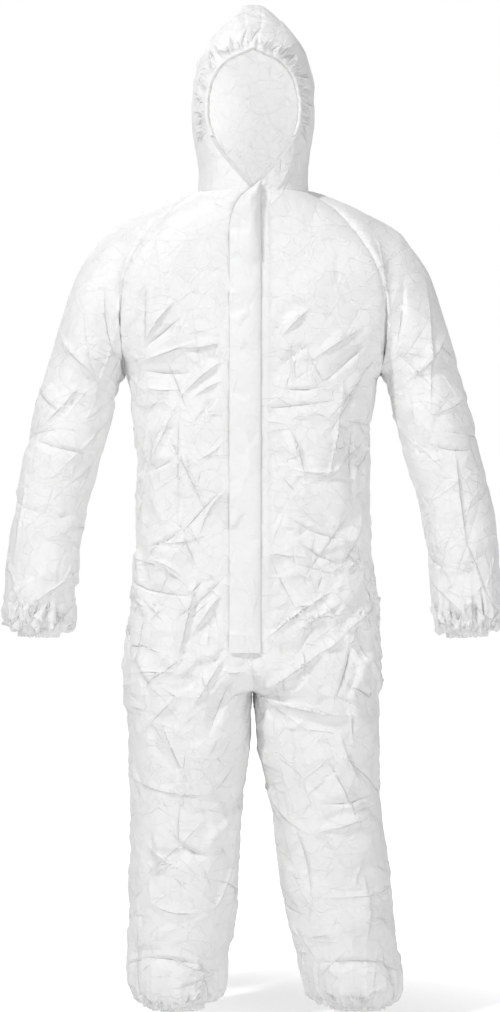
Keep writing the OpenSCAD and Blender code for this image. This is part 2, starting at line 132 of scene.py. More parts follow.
# heights at the front, side and back, half width, depth at the front and back,
# half width of the face opening, half width of the crown panel at the front and back
HOOD = np.array([
    [0, 8, 32, 98, 118, 78, 4, 4, 20], [50, 48, 62, 97, 112, 84, 46, 4, 24],
    [95, 95, 102, 103, 104, 98, 73, 5, 27], [145, 145, 150, 110, 99, 110, 83, 5, 28],
    [192, 197, 198, 107, 97, 115, 75, 5, 28], [228, 242, 234, 97, 98, 111, 47, 5, 27],
    [249, 268, 256, 84, 97, 105, 5, 5, 25], [266, 296, 275, 62, 91, 95, 8, 8, 21],
    [280, 322, 290, 38, 81, 84, 12, 12, 17], [290, 338, 302, 16, 68, 72, 15, 15, 15]], float)
SQUARE = 2.2  # how square the hood is from above: 2 is an oval
YOKE_ROWS, ACROSS, NECK_STEPS, HEAD_ROWS = 46, 45, 8, 16
HOOD_SUB, HOOD_COLS = 4, 36
FACE_ROWS, HOOD_ROWS = 6 * HOOD_SUB, 9 * HOOD_SUB
STEP = 6.6  # between the rows of a grid


def mix(a, b, t):
    return a + (b - a) * t


def smooth(x, a, b):
    t = np.clip((x - a) / (b - a), 0, 1)
    return t * t * (3 - 2 * t)


def powered(c, e):
    """c to the power e with c's own sign, which turns a circle into a squarer or a sharper oval."""
    return np.sign(c) * np.abs(c) ** e


def unit_rows(v):
    return v / np.linalg.norm(v, axis=-1, keepdims=True)


def directions(path):
    return unit_rows(np.gradient(path, axis=0))


def square_to(way, towards):
    """towards without the part of it that runs along way."""
    return np.cross(np.cross(way, towards), way)


def hermite(p, q, m, n, t):
    return (2*t**3 - 3*t*t + 1) * p + (t**3 - 2*t*t + t) * m + (3*t*t - 2*t**3) * q + (t**3 - t*t) * n


def along(table, x, k):
    keys = table[:, 0]
    last = len(keys) - 1
    i = int(np.clip(np.searchsorted(keys, x, "right") - 1, 0, last - 1))
    h = keys[i+1] - keys[i]
    a, b = max(0, i-1), min(last, i+2)
    m = (table[i+1, k] - table[a, k]) / (keys[i+1] - keys[a]) * h
    n = (table[b, k] - table[i, k]) / (keys[b] - keys[i]) * h
    return hermite(table[i, k], table[i+1, k], m, n, (x - keys[i]) / h)


def between(rows, x):
    rows = np.asarray(rows, float)
    last = len(rows) - 1
    i = int(np.clip(math.floor(x), 0, last - 1))
    m = (rows[i+1] - rows[max(0, i-1)]) / (1 if i == 0 else 2)
    n = (rows[min(last, i+2)] - rows[i]) / (1 if i == last - 1 else 2)
    return hermite(rows[i], rows[i+1], m, n, x - i)


def even(points, count):
    """The same line with count + 1 points an even distance apart."""
    s = np.concatenate([[0], np.cumsum(np.linalg.norm(np.diff(points, axis=0), axis=1))])
    at = np.linspace(0, s[-1], count + 1)
    return np.stack([np.interp(at, s, points[:, k]) for k in range(3)], 1)


def neck_x(y):
    q = y / (HOOD[0, 4] if y < 0 else HOOD[0, 5])
    return HOOD[0, 7] + (HOOD[0, 3] - HOOD[0, 7]) * max(0, 1 - abs(q) ** SQUARE) ** (1 / SQUARE)


def neck_z(y):
    q = y / (HOOD[0, 4] if y < 0 else HOOD[0, 5])
    low, side, high = HOOD[0, :3]
    return side + (high - low) / 2 * q + ((low + high) / 2 - side) * q * q


def neck_point(y, from_x=0):
    return np.array([max(from_x, neck_x(y)), y, neck_z(y) - GAP])


def raglan(face, t):
    table = RAGLAN[face]
    return between([neck_point(table[0][1])] + table[1:], t * (len(table) - 1))


def yoke_row(face, t):
    u = np.linspace(0, 1, 161)
    seam = raglan(face, t)
    edge = ZIP_EDGE if face == FRONT else 0
    far = -HOOD[0, 4] if face == FRONT else HOOD[0, 5]
    if t == 0:
        ys = mix(seam[1], far, np.cos(u * math.pi / 2).clip(0) ** 0.9)
        line = np.array([neck_point(y, edge) for y in ys])
        line[0, 0] = edge
    else:
        cy = -FRONT_Y if face == FRONT else mix(mix(HOOD[0, 5], 122, math.sin(math.pi/2*t)**0.8), 118, t*t)
        cz = mix(neck_z(far), -ARMPIT, t)
        e = mix(1, 0.76, t)
        line = np.stack([mix(edge, seam[0], np.sin(u*math.pi/2)**e),
                         mix(seam[1], cy, np.cos(u*math.pi/2).clip(0)**e), mix(cz, seam[2], u)], 1)
    return even(line, ACROSS)


def body_row(face, d):
    if d <= ZIP_END:
        start = math.pi / 2
    elif d >= CROTCH:
        start = 0
    else:
        start = math.acos((d - ZIP_END) / (CROTCH - ZIP_END))
    e = mix(0.9, 0.76, start / (math.pi / 2))
    edge = 0 if face == BACK else ZIP_EDGE * min(1, max(0, (ZIP_END - d) / 14))
    half = along(BODY, d, 1)
    reach = max(0, math.cos(start)) ** e
    if start == math.pi / 2:
        reach = 0
    a = (half - edge) / (1 + reach)
    middle = edge + a * reach
    depth = FRONT_Y if face == FRONT else along(BODY, d, 2)
    w = np.linspace(start, math.pi, 201)
    c, s = np.cos(w), np.sin(w).clip(0)
    line = np.stack([middle - a * powered(c, e), face * depth * s**e, np.full(len(w), -d)], 1)
    if start == math.pi / 2:
        line[0, 0] = edge
    return even(line, ACROSS)


def leg_middle(side, d):
    return 112.2 + SPLAY[side] * (d / 500) ** 1.5, 12 * (d / 546) ** 1.3


def leg_row(side, face, d):
    a, b = along(LEG, d, 1), along(LEG, d, 2 if face == FRONT else 3)
    e = mix(0.9, 1, min(1, d / 400))
    x, y = leg_middle(side, d)
    start = 1.6 * max(0, 1 - d / 25)
    w = np.linspace(0, math.pi, 201)
    c, s = np.cos(w), np.sin(w).clip(0)
    across = np.maximum(x - a * powered(c, e) - start * (1 + c) / 2, 0)
    line = np.stack([across, y + face * b * s**e, np.full(len(w), -HIP - d)], 1)
    return even(line, ACROSS)


def body_rows(side, face):
    rows = [yoke_row(face, i / YOKE_ROWS) for i in range(YOKE_ROWS + 1)]
    depths = np.linspace(ARMPIT, ZIP_END, round((ZIP_END - ARMPIT) / STEP) + 1)[1:]
    rows += [body_row(face, d) for d in depths]
    bends = [math.sin(math.pi/2 * k / 13) for k in range(1, 14)]
    rows += [body_row(face, ZIP_END + (CROTCH - ZIP_END) * bend) for bend in bends]
    depths = np.linspace(0, LEG[-1, 0], round(LEG[-1, 0] / STEP) + 1)
    rows += [leg_row(side, face, d) for d in depths]
    return np.array(rows) * [side, 1, 1]


def sleeve_ring(row):
    inner, outer = np.array([row[0], row[5], row[1]]), np.array([row[2], row[5], row[3]])
    count = 2 * YOKE_ROWS + NECK_STEPS
    w = np.arange(count)[:, None] * 2 * math.pi / count
    middle, half = (inner + outer) / 2, np.linalg.norm(inner - outer) / 2
    down = (inner - outer) / (2 * half)
    return middle + down * half * np.cos(w) - np.array([0, row[4], 0]) * np.sin(w)


def sleeve_rows(side):
    ys = [mix(RAGLAN[FRONT][0][1], RAGLAN[BACK][0][1], k / NECK_STEPS) for k in range(1, NECK_STEPS)]
    hole = [raglan(FRONT, i / YOKE_ROWS) for i in range(YOKE_ROWS, -1, -1)]
    hole += [neck_point(y) for y in ys]
    hole = np.array(hole + [raglan(BACK, i / YOKE_ROWS) for i in range(YOKE_ROWS)])
    ring = sleeve_ring(SLEEVE[0])
    angle = np.arange(len(hole)) * 2 * math.pi / len(hole)
    swing = np.sign(hole[:, 1]) * 0.35 * np.abs(np.sin(angle))
    leave = unit_rows(np.stack([np.ones(len(hole)), swing, np.full(len(hole), -0.15)], 1))
    arrive = np.array([0.8, 0, -0.55]) / math.hypot(0.8, 0.55)
    gap = np.linalg.norm(ring - hole, axis=1)[:, None]
    rows = [hermite(hole, ring, leave * gap * 0.9, arrive * gap * 0.9, i / HEAD_ROWS)
            for i in range(HEAD_ROWS + 1)]
    at = np.linspace(0, len(SLEEVE) - 1, 400)
    stations = [between(SLEEVE, s) for s in at]
    middles = np.array([(r[[0, 5, 1]] + r[[2, 5, 3]]) / 2 for r in stations])
    girth = np.array([r[4] for r in stations])
    run = np.hypot(np.linalg.norm(np.diff(middles, axis=0), axis=1), np.diff(girth))
    run = np.concatenate([[0], np.cumsum(run)])
    stops = np.interp(np.linspace(0, run[-1], round(run[-1] / STEP) + 1), run, at)
    rows += [sleeve_ring(between(SLEEVE, s)) for s in stops[1:]]
    return np.array(rows) * [side, 1, 1]


def hood_line(i):
    row = between(HOOD, i / HOOD_SUB)
    share = 1
    if i < FACE_ROWS and row[6] > row[7]:
        share = (1 - ((row[6] - row[7]) / (row[3] - row[7])) ** SQUARE) ** (1 / SQUARE)
    w = np.linspace(-math.pi / 2, math.pi / 2, 241)
    q = np.where(w < 0, -share * np.abs(np.sin(w)) ** 0.85, np.abs(np.sin(w)) ** 0.85)
    edge = mix(row[7], row[8], (q + 1) / 2)
    across = edge + (row[3] - edge) * (1 - np.abs(q) ** SQUARE).clip(0) ** (1 / SQUARE)
    through = np.where(q < 0, q * row[4], q * row[5])
    up = row[1] + (row[2] - row[0]) / 2 * q + ((row[0] + row[2]) / 2 - row[1]) * q * q
    return even(np.stack([across, through, up], 1), HOOD_COLS)


HOOD_LINES = [hood_line(i) for i in range(HOOD_ROWS + 1)]


def crown_rows():
    edge = [HOOD_LINES[i][0] for i in range(FACE_ROWS, HOOD_ROWS + 1)] + list(HOOD_LINES[-1][1:])
    edge += [HOOD_LINES[i][-1] for i in range(HOOD_ROWS - 1, -1, -1)]
    rows = []
    for p in edge:
        up = np.array([0, p[1], p[2] - 130])
        up *= 1.5 / np.linalg.norm(up)
        rows.append([p, p * [.5, 1, 1] + up * 0.8, p * [0, 1, 1] + up,
                     p * [-.5, 1, 1] + up * 0.8, p * [-1, 1, 1]])
    return np.array(rows)


# ---------- one welded mesh of all the panels
PANELS = ["right_front_panel", "left_front_panel", "right_back_panel", "left_back_panel",
          "right_sleeve", "left_sleeve", "hood_right_panel", "hood_left_panel", "hood_crown_panel"]


def add_grid(soup, rows, label, ring=False):
    """Adds a grid's points, faces and labels to soup; a ring's last column joins its first."""
    m, n = rows.shape[:2]
    at = len(soup[0])
    soup[0].extend(rows.reshape(-1, 3) * MM)
    for i in range(m - 1):
        for j in range(n if ring else n - 1):
            k = (j + 1) % n
            soup[1].append((at + i*n + j, at + (i+1)*n + j, at + (i+1)*n + k, at + i*n + k))
            soup[2].append(label)


def welded(soup, name):
    """A mesh object whose coinciding edges are joined and whose faces point outwards."""
    bm = bmesh.new()
    verts = [bm.verts.new(p) for p in soup[0]]
    for f, label in zip(soup[1], soup[2]):
        bm.faces.new([verts[i] for i in f]).material_index = label
    bmesh.ops.remove_doubles(bm, verts=bm.verts, dist=0.0004)
    bmesh.ops.dissolve_degenerate(bm, edges=bm.edges, dist=1e-6)
    bmesh.ops.recalc_face_normals(bm, faces=bm.faces)
    best = max(bm.faces, key=lambda f: f.calc_center_median().y)
    if best.normal.y < 0:
        bmesh.ops.reverse_faces(bm, faces=bm.faces)
    mesh = bpy.data.meshes.new(name)
    bm.to_mesh(mesh)
    bm.free()
    return linked(name, mesh)


def coords(mesh):
    co = np.empty(len(mesh.vertices) * 3)
    mesh.vertices.foreach_get("co", co)
    return co.reshape(-1, 3)


def normals(mesh):
    no = np.empty(len(mesh.vertices) * 3, np.float32)
    mesh.vertex_normals.foreach_get("vector", no)
    return no.reshape(-1, 3).astype(float)


suit_soup = ([], [], [])
for label, (side, face) in enumerate([(-1, FRONT), (1, FRONT), (-1, BACK), (1, BACK)]):
    add_grid(suit_soup, body_rows(side, face), label)
for label, side in ((4, -1), (5, 1)):
    add_grid(suit_soup, sleeve_rows(side), label, ring=True)
suit = welded(suit_soup, "suit")
hood_soup = ([], [], [])
for label, side in ((6, -1), (7, 1)):
    add_grid(hood_soup, np.array(HOOD_LINES) * [side, 1, 1], label)
add_grid(hood_soup, crown_rows(), 8)
hood = welded(hood_soup, "hood")


# ---------- folds
def noise_at(co, size, seed):
    shift = Vector((seed * 7.31, seed * 3.77, seed * 5.13))
    return np.array([noise.noise(Vector(p) / size + shift) for p in co])


# Folds that hang where a worn suit pulls, by the face they are on: x and z of the start, of the point that
# bends the fold and of the end, then height and half width, in millimetres
FOLDS = {
    FRONT: [
        (-184, -150, -190, -215, -188, -290, -6, 6), (-130, -186, -165, -226, -196, -274, 6, 8),
        (-196, -282, -160, -250, -118, -220, -4, 5), (-196, -296, -150, -284, -96, -262, 5, 6),
        (-194, -312, -150, -322, -104, -318, -4, 5), (-190, -340, -160, -350, -124, -346, 4, 5),
        (-44, -292, -86, -318, -132, -366, 7, 8), (-57, -357, -76, -376, -97, -404, -8, 4),
        (-48, -262, -80, -276, -124, -274, 5, 7), (-42, -330, -76, -338, -110, -366, 5, 5),
        (-129, -366, -150, -420, -184, -494, 6, 8), (-129, -462, -156, -478, -188, -492, -7, 6),
        (-128, -360, -129, -470, -128, -580, 3, 6), (-188, -620, -150, -612, -124, -588, -6, 6),
        (-124, -588, -110, -620, -96, -660, 5, 6), (-192, -640, -150, -646, -118, -676, 5, 7),
        (-48, -520, -80, -556, -96, -610, 4, 8), (-44, -430, -70, -460, -100, -470, 4, 6),
        (102, -203, 76, -226, 46, -258, 6, 7), (104, -268, 76, -282, 46, -309, -6, 6),
        (196, -236, 150, -262, 96, -300, 5, 7), (200, -265, 168, -296, 118, -340, -5, 7),
        (41, -344, 80, -350, 128, -342, -4, 4), (198, -300, 176, -350, 120, -420, 5, 8),
        (178, -380, 166, -460, 178, -560, -5, 9), (60, -480, 110, -500, 168, -478, 5, 7),
        (52, -400, 84, -450, 90, -520, 4, 7), (56, -560, 100, -600, 170, -606, -5, 7),
        (-94, -657, -112, -750, -134, -839, 10, 8), (-44, -685, -76, -728, -111, -780, 8, 6),
        (-46, -804, -76, -850, -108, -904, 8, 7), (-194, -945, -160, -905, -117, -862, 7, 7),
        (-30, -840, -56, -890, -80, -960, -7, 8), (166, -765, 90, -826, 9, -871, 10, 8),
        (224, -715, 190, -742, 150, -775, 7, 7), (12, -878, 83, -904, 215, -918, 7, 6),
        (170, -700, 110, -745, 60, -770, 6, 8), (60, -888, 112, -900, 171, -920, 5, 6),
        (66, -600, 112, -640, 170, -652, -5, 7), (-70, -590, -118, -618, -184, -610, 4, 6),
        (-28, -1085, -38, -1200, -46, -1305, 6, 8), (-150, -1100, -120, -1150, -70, -1158, -7, 7),
        (-190, -1130, -150, -1172, -96, -1190, 6, 7), (-110, -950, -126, -1010, -118, -1080, 5, 8),
        (218, -1046, 168, -1070, 110, -1062, -7, 7), (212, -1078, 160, -1108, 104, -1112, 7, 7),
        (70, -1100, 96, -1170, 100, -1250, -6, 8), (150, -930, 160, -990, 196, -1040, 6, 8),
        (190, -1180, 206, -1250, 196, -1320, 6, 8), (-190, -1230, -140, -1262, -84, -1252, 5, 7)],
    BOTH: [
        (-214, -1344, -150, -1330, -60, -1356, -5, 7), (98, -1350, 180, -1332, 262, -1352, -5, 7),
        (-128, -1416, -96, -1396, -64, -1372, 4, 5), (150, -1418, 186, -1396, 240, -1376, 4, 5),
        (-390, -430, -330, -452, -276, -458, -5, 6), (-300, -330, -330, -380, -374, -412, 5, 8),
        (-260, -150, -262, -225, -236, -300, -8, 8), (262, -150, 262, -225, 240, -300, -8, 8),
        (-345, -230, -318, -290, -262, -330, 6, 9), (345, -230, 318, -296, 262, -336, 6, 9),
        (300, -140, 312, -240, 308, -396, 4, 6), (351, -433, 359, -545, 376, -640, 4, 6),
        (-397, -500, -403, -560, -416, -640, 4, 6), (300, -440, 345, -455, 392, -446, -5, 7),
        (-384, -330, -366, -372, -320, -390, -4, 6), (386, -350, 350, -380, 300, -392, 4, 6)],
    BACK: [
        (0, -120, 60, -210, 140, -300, 6, 9), (0, -140, -70, -230, -150, -310, 6, 9),
        (-150, -480, -60, -520, 40, -505, -6, 9), (150, -560, 60, -590, -60, -575, 6, 9),
        (150, -820, 80, -880, 20, -900, 8, 9), (-150, -810, -86, -872, -22, -900, 8, 9),
        (60, -1120, 120, -1140, 190, -1125, -6, 8), (-60, -1120, -120, -1140, -190, -1125, -6, 8),
        (-120, -900, -110, -980, -124, -1060, 5, 9), (124, -900, 118, -980, 140, -1060, 5, 9)]}


def along_curve(q, start, bend, end):
    """For each of q, how far along a bent line it is, from 0 to 1, and how far off it, signed by its side."""
    t = np.linspace(0, 1, 13)[:, None]
    line = (1 - t) ** 2 * start + 2 * t * (1 - t) * bend + t * t * end
    best, at, side = np.full(len(q), 9.0), np.zeros(len(q)), np.ones(len(q))
    for k in range(len(line) - 1):
        a, d = line[k], line[k+1] - line[k]
        t = ((q - a) @ d / (d @ d)).clip(0, 1)
        off = q - a - t[:, None] * d
        r = np.linalg.norm(off, axis=1)
        closer = r < best
        best[closer], at[closer] = r[closer], (k + t[closer]) / (len(line) - 1)
        side[closer] = np.where(d[0] * off[closer, 1] - d[1] * off[closer, 0] < 0, -1, 1)
    return at.clip(0, 1), best * side


def set_values(mesh, name, values):
    """Keeps a number with each point of a mesh."""
    layer = mesh.attributes.new(name, "FLOAT", "POINT")
    layer.data.foreach_set("value", np.asarray(values, np.float32))


class Cloth:
    """Folds pressed into the points of a cloth. Each point also keeps how far off the nearest pressed line
    is, signed by its side, and how deep that line is there."""

    def __init__(self, co, no):
        self.co, self.no = co, no
        self.order = np.argsort(co[:, 2])
        self.level = co[self.order, 2]
        self.height, self.off, self.depth = np.zeros(len(co)), np.full(len(co), 1.0), np.zeros(len(co))

    def press(self, near, away, ends, steep, depth):
        """A fold whose two flat flanks meet in a line, one of them steeper. It narrows towards its ends."""
        steep = steep * (0.25 + 0.75 * ends)
        flank = np.where(away > 0, away / steep, -away / (2.8 * steep))
        self.height[near] += depth * ends * (1 - flank).clip(0)
        closer = np.abs(away) < np.abs(self.off[near])
        near, away, ends = near[closer], away[closer], ends[closer]
        self.off[near] = away
        self.depth[near] = np.clip(0.65 * depth, -0.0015, 0.0015) * ends * (1 - np.abs(away) / 0.007).clip(0)

    def line(self, i, along, reach, bow, steep, depth):
        """A fold of half length reach through point i."""
        low, high = np.searchsorted(self.level, [self.co[i, 2] - reach, self.co[i, 2] + reach])
        near = self.order[low:high]
        near = near[self.no[near] @ self.no[i] > 0.25]
        off = self.co[near] - self.co[i]
        a = off @ along
        b = off @ np.cross(self.no[i], along) + bow * a * a
        inside = (np.abs(a) < reach) & (np.abs(b) < 3 * steep + 0.008)
        self.press(near[inside], b[inside], (1 - (a[inside] / reach) ** 2) ** 1.5, steep, depth)

    def creases(self, count, longest, deepest, widest=0.004):
        """Straight creases all over, from packing and pulling."""
        for _ in range(count):
            i = rng.integers(len(self.co))
            reach, turn, bow = longest * rng.uniform(0.35, 1), rng.uniform(0, math.pi), rng.uniform(-0.9, 0.9)
            across = unit_rows(np.cross(self.no[i], [0, 0, 1]) + [1e-6, 0, 0])
            along = math.cos(turn) * across + math.sin(turn) * np.cross(across, self.no[i])
            width = widest * rng.uniform(0.45, 1)
            height = rng.choice([-1, 1]) * deepest * rng.uniform(0.3, 1)
            self.line(i, along, reach, bow, width, height)

    def crumples(self, middle, axes, low, high, count, deepest):
        """Short creases that run into the gathered cloth at a band."""
        angle, up = around(self.co, middle, axes)
        near = np.nonzero((np.linalg.norm(self.co - middle, axis=1) < 0.16) & (up > low) & (up < high))[0]
        for i in rng.choice(near, count):
            across = unit_rows(np.cross(self.no[i], axes[2]) + [1e-6, 0, 0])
            turn = rng.normal(0, 0.55)
            along = math.sin(turn) * across + math.cos(turn) * np.cross(across, self.no[i])
            reach, width = rng.uniform(0.008, 0.026), rng.uniform(0.0022, 0.0045)
            height = rng.choice([-1, 1]) * deepest * rng.uniform(0.4, 1)
            self.line(i, along, reach, 0, width, height)

    def folds(self, scale):
        """The large folds of FOLDS."""
        flat = self.co[:, [0, 2]]
        for face, (*points, depth, width) in [(face, fold) for face in FOLDS for fold in FOLDS[face]]:
            start, middle, end = pts = np.reshape(points, (3, 2)) * MM
            reach = 4 * width * MM
            beside = ((flat > pts.min(0) - reach) & (flat < pts.max(0) + reach)).all(1)
            near = np.nonzero(beside & ((face == BOTH) | (self.no[:, 1] * face > -0.15)))[0]
            if not len(near):
                continue
            at, away = along_curve(flat[near], start, 1.2 * middle - 0.1 * (start + end), end)
            ends = np.sin(math.pi * at) ** 1.4
            if face != BOTH:
                ends = ends * smooth(np.abs(self.no[near, 1]), 0.05, 0.5)
            self.press(near, away, ends, width * MM, scale * depth * MM)

    def mark(self, mesh, loose=1.0):
        """Keeps the pressed lines with the mesh, for its material to sharpen."""
        set_values(mesh, "pressed_away", self.off)
        set_values(mesh, "pressed_depth", self.depth * loose)


def under_flap(co):
    """1 under the storm flap and on the zip, where the cloth lies flat."""
    beside = 1 - smooth(np.abs(co[:, 0] + 0.013), 0.032, 0.055)
    return beside * (co[:, 1] < -0.09) * smooth(co[:, 2], -0.83, -0.80) * (co[:, 2] < 0.002)


def at_band(co):
    """1 where an edge is held by its band: the neck seam, the wrists and the ankles."""
    off_neck = np.abs(co[:, 2] - 0.012 - 0.12 * (co[:, 1] + 0.02))
    neck = (1 - smooth(off_neck, 0.006, 0.035)) * (np.abs(co[:, 0]) < 0.13)
    ankle = 1 - smooth(co[:, 2], -1.43, -1.405)
    wrist = (1 - smooth(co[:, 2], -0.771, -0.748)) * (np.abs(co[:, 0]) > 0.3)
    return np.maximum(np.maximum(neck, ankle), wrist)


def refine(obj, levels):
    """Makes the mesh finer and smoother."""
    fine = obj.modifiers.new("fine", "SUBSURF")
    fine.levels = fine.render_levels = levels
    shot = obj.evaluated_get(bpy.context.evaluated_depsgraph_get())
    mesh = bpy.data.meshes.new_from_object(shot)
    obj.modifiers.clear()
    obj.data = mesh


# Three unrelated directions that turn a place into a seemingly random number
SCATTER = ([12.99, 78.23, 37.72], [93.99, 67.35, 11.14], [45.16, 23.71, 88.45])


def tilts(cells):
    """A direction for each facet that depends only on where the facet is."""
    q = np.round(cells, 3)
    raw = np.stack([np.sin(q @ k) * 4375.85 for k in SCATTER], -1)
    return 2 * (raw - np.floor(raw)) - 1


def facets(co, size, seed, crisp=9.0):
    """Tilted flat facets that meet in creases, as in crushed paper: metres high for slopes of about 1."""
    shift = Vector((seed * 5.17, seed * 2.93, seed * 8.41))
    at, cells, away = np.empty((len(co), 3)), np.empty((len(co), 4, 3)), np.empty((len(co), 4))
    for i, p in enumerate(co):
        v = Vector(p) / size
        v += 0.5 * noise.noise_vector(v * 0.5) + shift
        at[i] = v
        away[i], cells[i] = noise.voronoi(v)
    weight = np.exp(-crisp * (away - away[:, :1]))
    plane = ((at[:, None] - cells) * tilts(cells)).sum(-1)
    return (weight * plane).sum(1) / weight.sum(1) * size


def seam_points(mesh):
    """Points where two panels are sewn together."""
    first = np.full(len(mesh.vertices), -1)
    sewn = np.zeros(len(mesh.vertices), bool)
    for face in mesh.polygons:
        for v in face.vertices:
            if first[v] < 0:
                first[v] = face.material_index
            elif first[v] != face.material_index:
                sewn[v] = True
    return coords(mesh)[sewn]


def tree_of(points):
    """A tree that finds the nearest of points."""
    tree = kdtree.KDTree(len(points))
    for i, p in enumerate(points):
        tree.insert(p, i)
    tree.balance()
    return tree


def nearest(points, co):
    """For each of co, the nearest of points and how far it is."""
    tree = tree_of(points)
    found = [tree.find(p) for p in co]
    return np.array([f[0] for f in found]), np.array([f[2] for f in found])


def puckers(line, away, pitch, height, reach, seed):
    """Small ridges square to a sewn line, which fade away from it."""
    ridges = noise_at(line, pitch, seed) + 0.5 * noise_at(line, pitch * 0.45, seed + 1)
    return ridges * height * np.exp(-away / reach)


def pleats(angle, count, seed):
    """Uneven pleats around an opening: about -1 in a valley and 1 on a ridge."""
    drift = 0.9 * np.sin(2 * angle + seed) + 0.7 * np.sin(3 * angle + 2.1 * seed)
    ridge = 1 - 2 * np.abs(np.sin(count * angle / 2 + drift)) ** 0.8
    return ridge * (0.75 + 0.25 * np.sin(5 * angle + seed)) + 0.3 * np.sin(2.3 * count * angle + 3 * drift)


def displace(obj, height, move=0.0):
    """Moves the points of a mesh by height along their normals, and by move."""
    co, no = coords(obj.data), normals(obj.data)
    obj.data.vertices.foreach_set("co", (co + no * height[:, None] + move).ravel())
    obj.data.update()


def opening(node):
    """The middle of a wrist or ankle opening, from the frame."""
    low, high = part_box(node)
    return np.array((low + high) / 2)


SIDES = ((-1, "right"), (1, "left"))
WRISTS = {side: opening(name + "_wrist_casing") for side, name in SIDES}
ANKLES = {side: opening(name + "_ankle_casing") for side, name in SIDES}
WRIST_TILT = math.atan2(SLEEVE[-1, 3] - SLEEVE[-1, 1], SLEEVE[-1, 2] - SLEEVE[-1, 0])
UPRIGHT = (np.array([1, 0, 0]), np.array([0, 1, 0]), np.array([0, 0, 1]))
WRIST_PLEATS, ANKLE_PLEATS = 13, 19


def wrist_frame(side):
    """Across, through and up at a wrist opening."""
    across = np.array([math.cos(WRIST_TILT), 0, side * math.sin(WRIST_TILT)])
    return across, np.array([0, 1, 0]), np.array([-side * math.sin(WRIST_TILT), 0, math.cos(WRIST_TILT)])


def around(co, middle, frame_axes):
    """Angle about an opening's axis and height above the opening."""
    off = co - middle
    across, through, up = frame_axes
    return np.arctan2(off @ through, off @ across), off @ up


def openings(co):
    """For each wrist and ankle: kind, side, up, which points are near, their angles and their heights."""
    for side in (-1, 1):
        arm = (co[:, 0] * side > 0.28) & (co[:, 2] < -0.6)
        yield "wrist", side, wrist_frame(side)[2], arm, *around(co, WRISTS[side], wrist_frame(side))
        leg = (co[:, 0] * side > 0) & (co[:, 2] < -1.2)
        yield "ankle", side, UPRIGHT[2], leg, *around(co, ANKLES[side], UPRIGHT)


def gathers(co):
    """The pleats that the wrist and ankle bands pull the cloth into."""
    height = np.zeros(len(co))
    for kind, side, _, near, angle, up in openings(co):
        if kind == "wrist":
            deep = 0.0011 + 0.0034 * smooth(up, 0, 0.02)
            height += near * deep * np.exp(-up.clip(0) / 0.05) * pleats(angle, WRIST_PLEATS, side)
        else:
            deep = 0.0014 + 0.0042 * smooth(up, 0, 0.025)
            height += near * deep * np.exp(-up.clip(0) / 0.045) * pleats(angle, ANKLE_PLEATS, side + 2)
    return height


def facing_step(co):
    """The facing of the zip shows through the left front as a low step with a square lower end."""
    edge = np.where(co[:, 2] < -0.733, 0.050 - 0.003 * smooth(co[:, 2], -0.782, -0.733), 0.028)
    step = smooth(co[:, 0], 0.0, 0.014) * (1 - smooth(co[:, 0], edge - 0.001, edge + 0.003))
    step *= smooth(co[:, 2], -0.785, -0.781)
    return 0.0011 * step * (co[:, 1] < -0.09) * (co[:, 2] < -0.02)


def waist_shirring(co):
    """The back waist, drawn in by its elastic into upright pleats."""
    level = np.exp(-((co[:, 2] + 0.5) / 0.035) ** 2) * (co[:, 1] > 0.02) * (np.abs(co[:, 0]) < 0.18)
    wave = np.abs(np.sin(co[:, 0] * 190 + 1.5 * np.sin(co[:, 0] * 41))) ** 0.8
    return level * (0.0035 * (1 - 2 * wave) - 0.004)


refine(suit, 1)
suit_base = coords(suit.data)
suit_normals = normals(suit.data)
# how far the cloth hangs over each band, in metres
DROP = {"wrist": 0.0125, "ankle": 0.0115}


def hang(co):
    """The blouse above each wrist and ankle hangs over the gathered band, lower in some places."""
    move = np.zeros_like(co)
    for kind, side, upwards, near, angle, up in openings(co):
        uneven = 0.75 + 0.25 * np.sin(2 * angle + side) + 0.3 * np.sin(3 * angle - 1.3 * side)
        amount = near * DROP[kind] * uneven * smooth(up, 0.002, 0.014) * (1 - smooth(up, 0.03, 0.075))
        move -= amount[:, None] * upwards
    return move


def suit_relief(co, no):
    loose = 1 - np.maximum(under_flap(co), at_band(co))
    on_arm = smooth(np.abs(co[:, 0]), 0.225, 0.26) * (co[:, 2] > -0.8)
    packed = (1 - 0.65 * smooth(co[:, 2], -0.33, -0.2)) * (1 - 0.3 * on_arm)
    packed *= 1 + 0.5 * np.exp(-((co[:, 2] + 0.77) / 0.13) ** 2)
    cloth = Cloth(co, no)
    cloth.creases(1500, 0.040, 0.0017, 0.0032)
    cloth.creases(280, 0.11, 0.0036, 0.007)
    cloth.height *= packed
    cloth.depth *= packed
    cloth.folds(1.08)
    for side in (-1, 1):
        cloth.crumples(WRISTS[side], wrist_frame(side), 0.006, 0.055, 110, 0.0055)
        cloth.crumples(ANKLES[side], UPRIGHT, 0.006, 0.035, 80, 0.0040)
    patchy = packed * (0.5 + 0.9 * np.abs(noise_at(co, 0.16, 5)))
    tilt = 0.10 * facets(co, 0.085, 1, 30) + 0.09 * facets(co, 0.036, 2, 30)
    height = cloth.height + patchy * tilt
    height = loose * (height + 0.0022 * noise_at(co, 0.12, 2))
    line, away = nearest(seam_points(suit.data), co)
    free = 1 - at_band(co)
    cloth.mark(suit.data, loose)
    valley = 0.0009 * np.exp(-(away / 0.003) ** 2)
    height += free * (puckers(line, away, 0.011, 0.0016, 0.014, 7) - valley)
    height = height + gathers(co) + facing_step(co) + waist_shirring(co)
    return height + 0.0005 * noise_at(co, 0.02, 9) * under_flap(co)


displace(suit, suit_relief(suit_base, suit_normals), hang(suit_base))
suit_final = coords(suit.data)

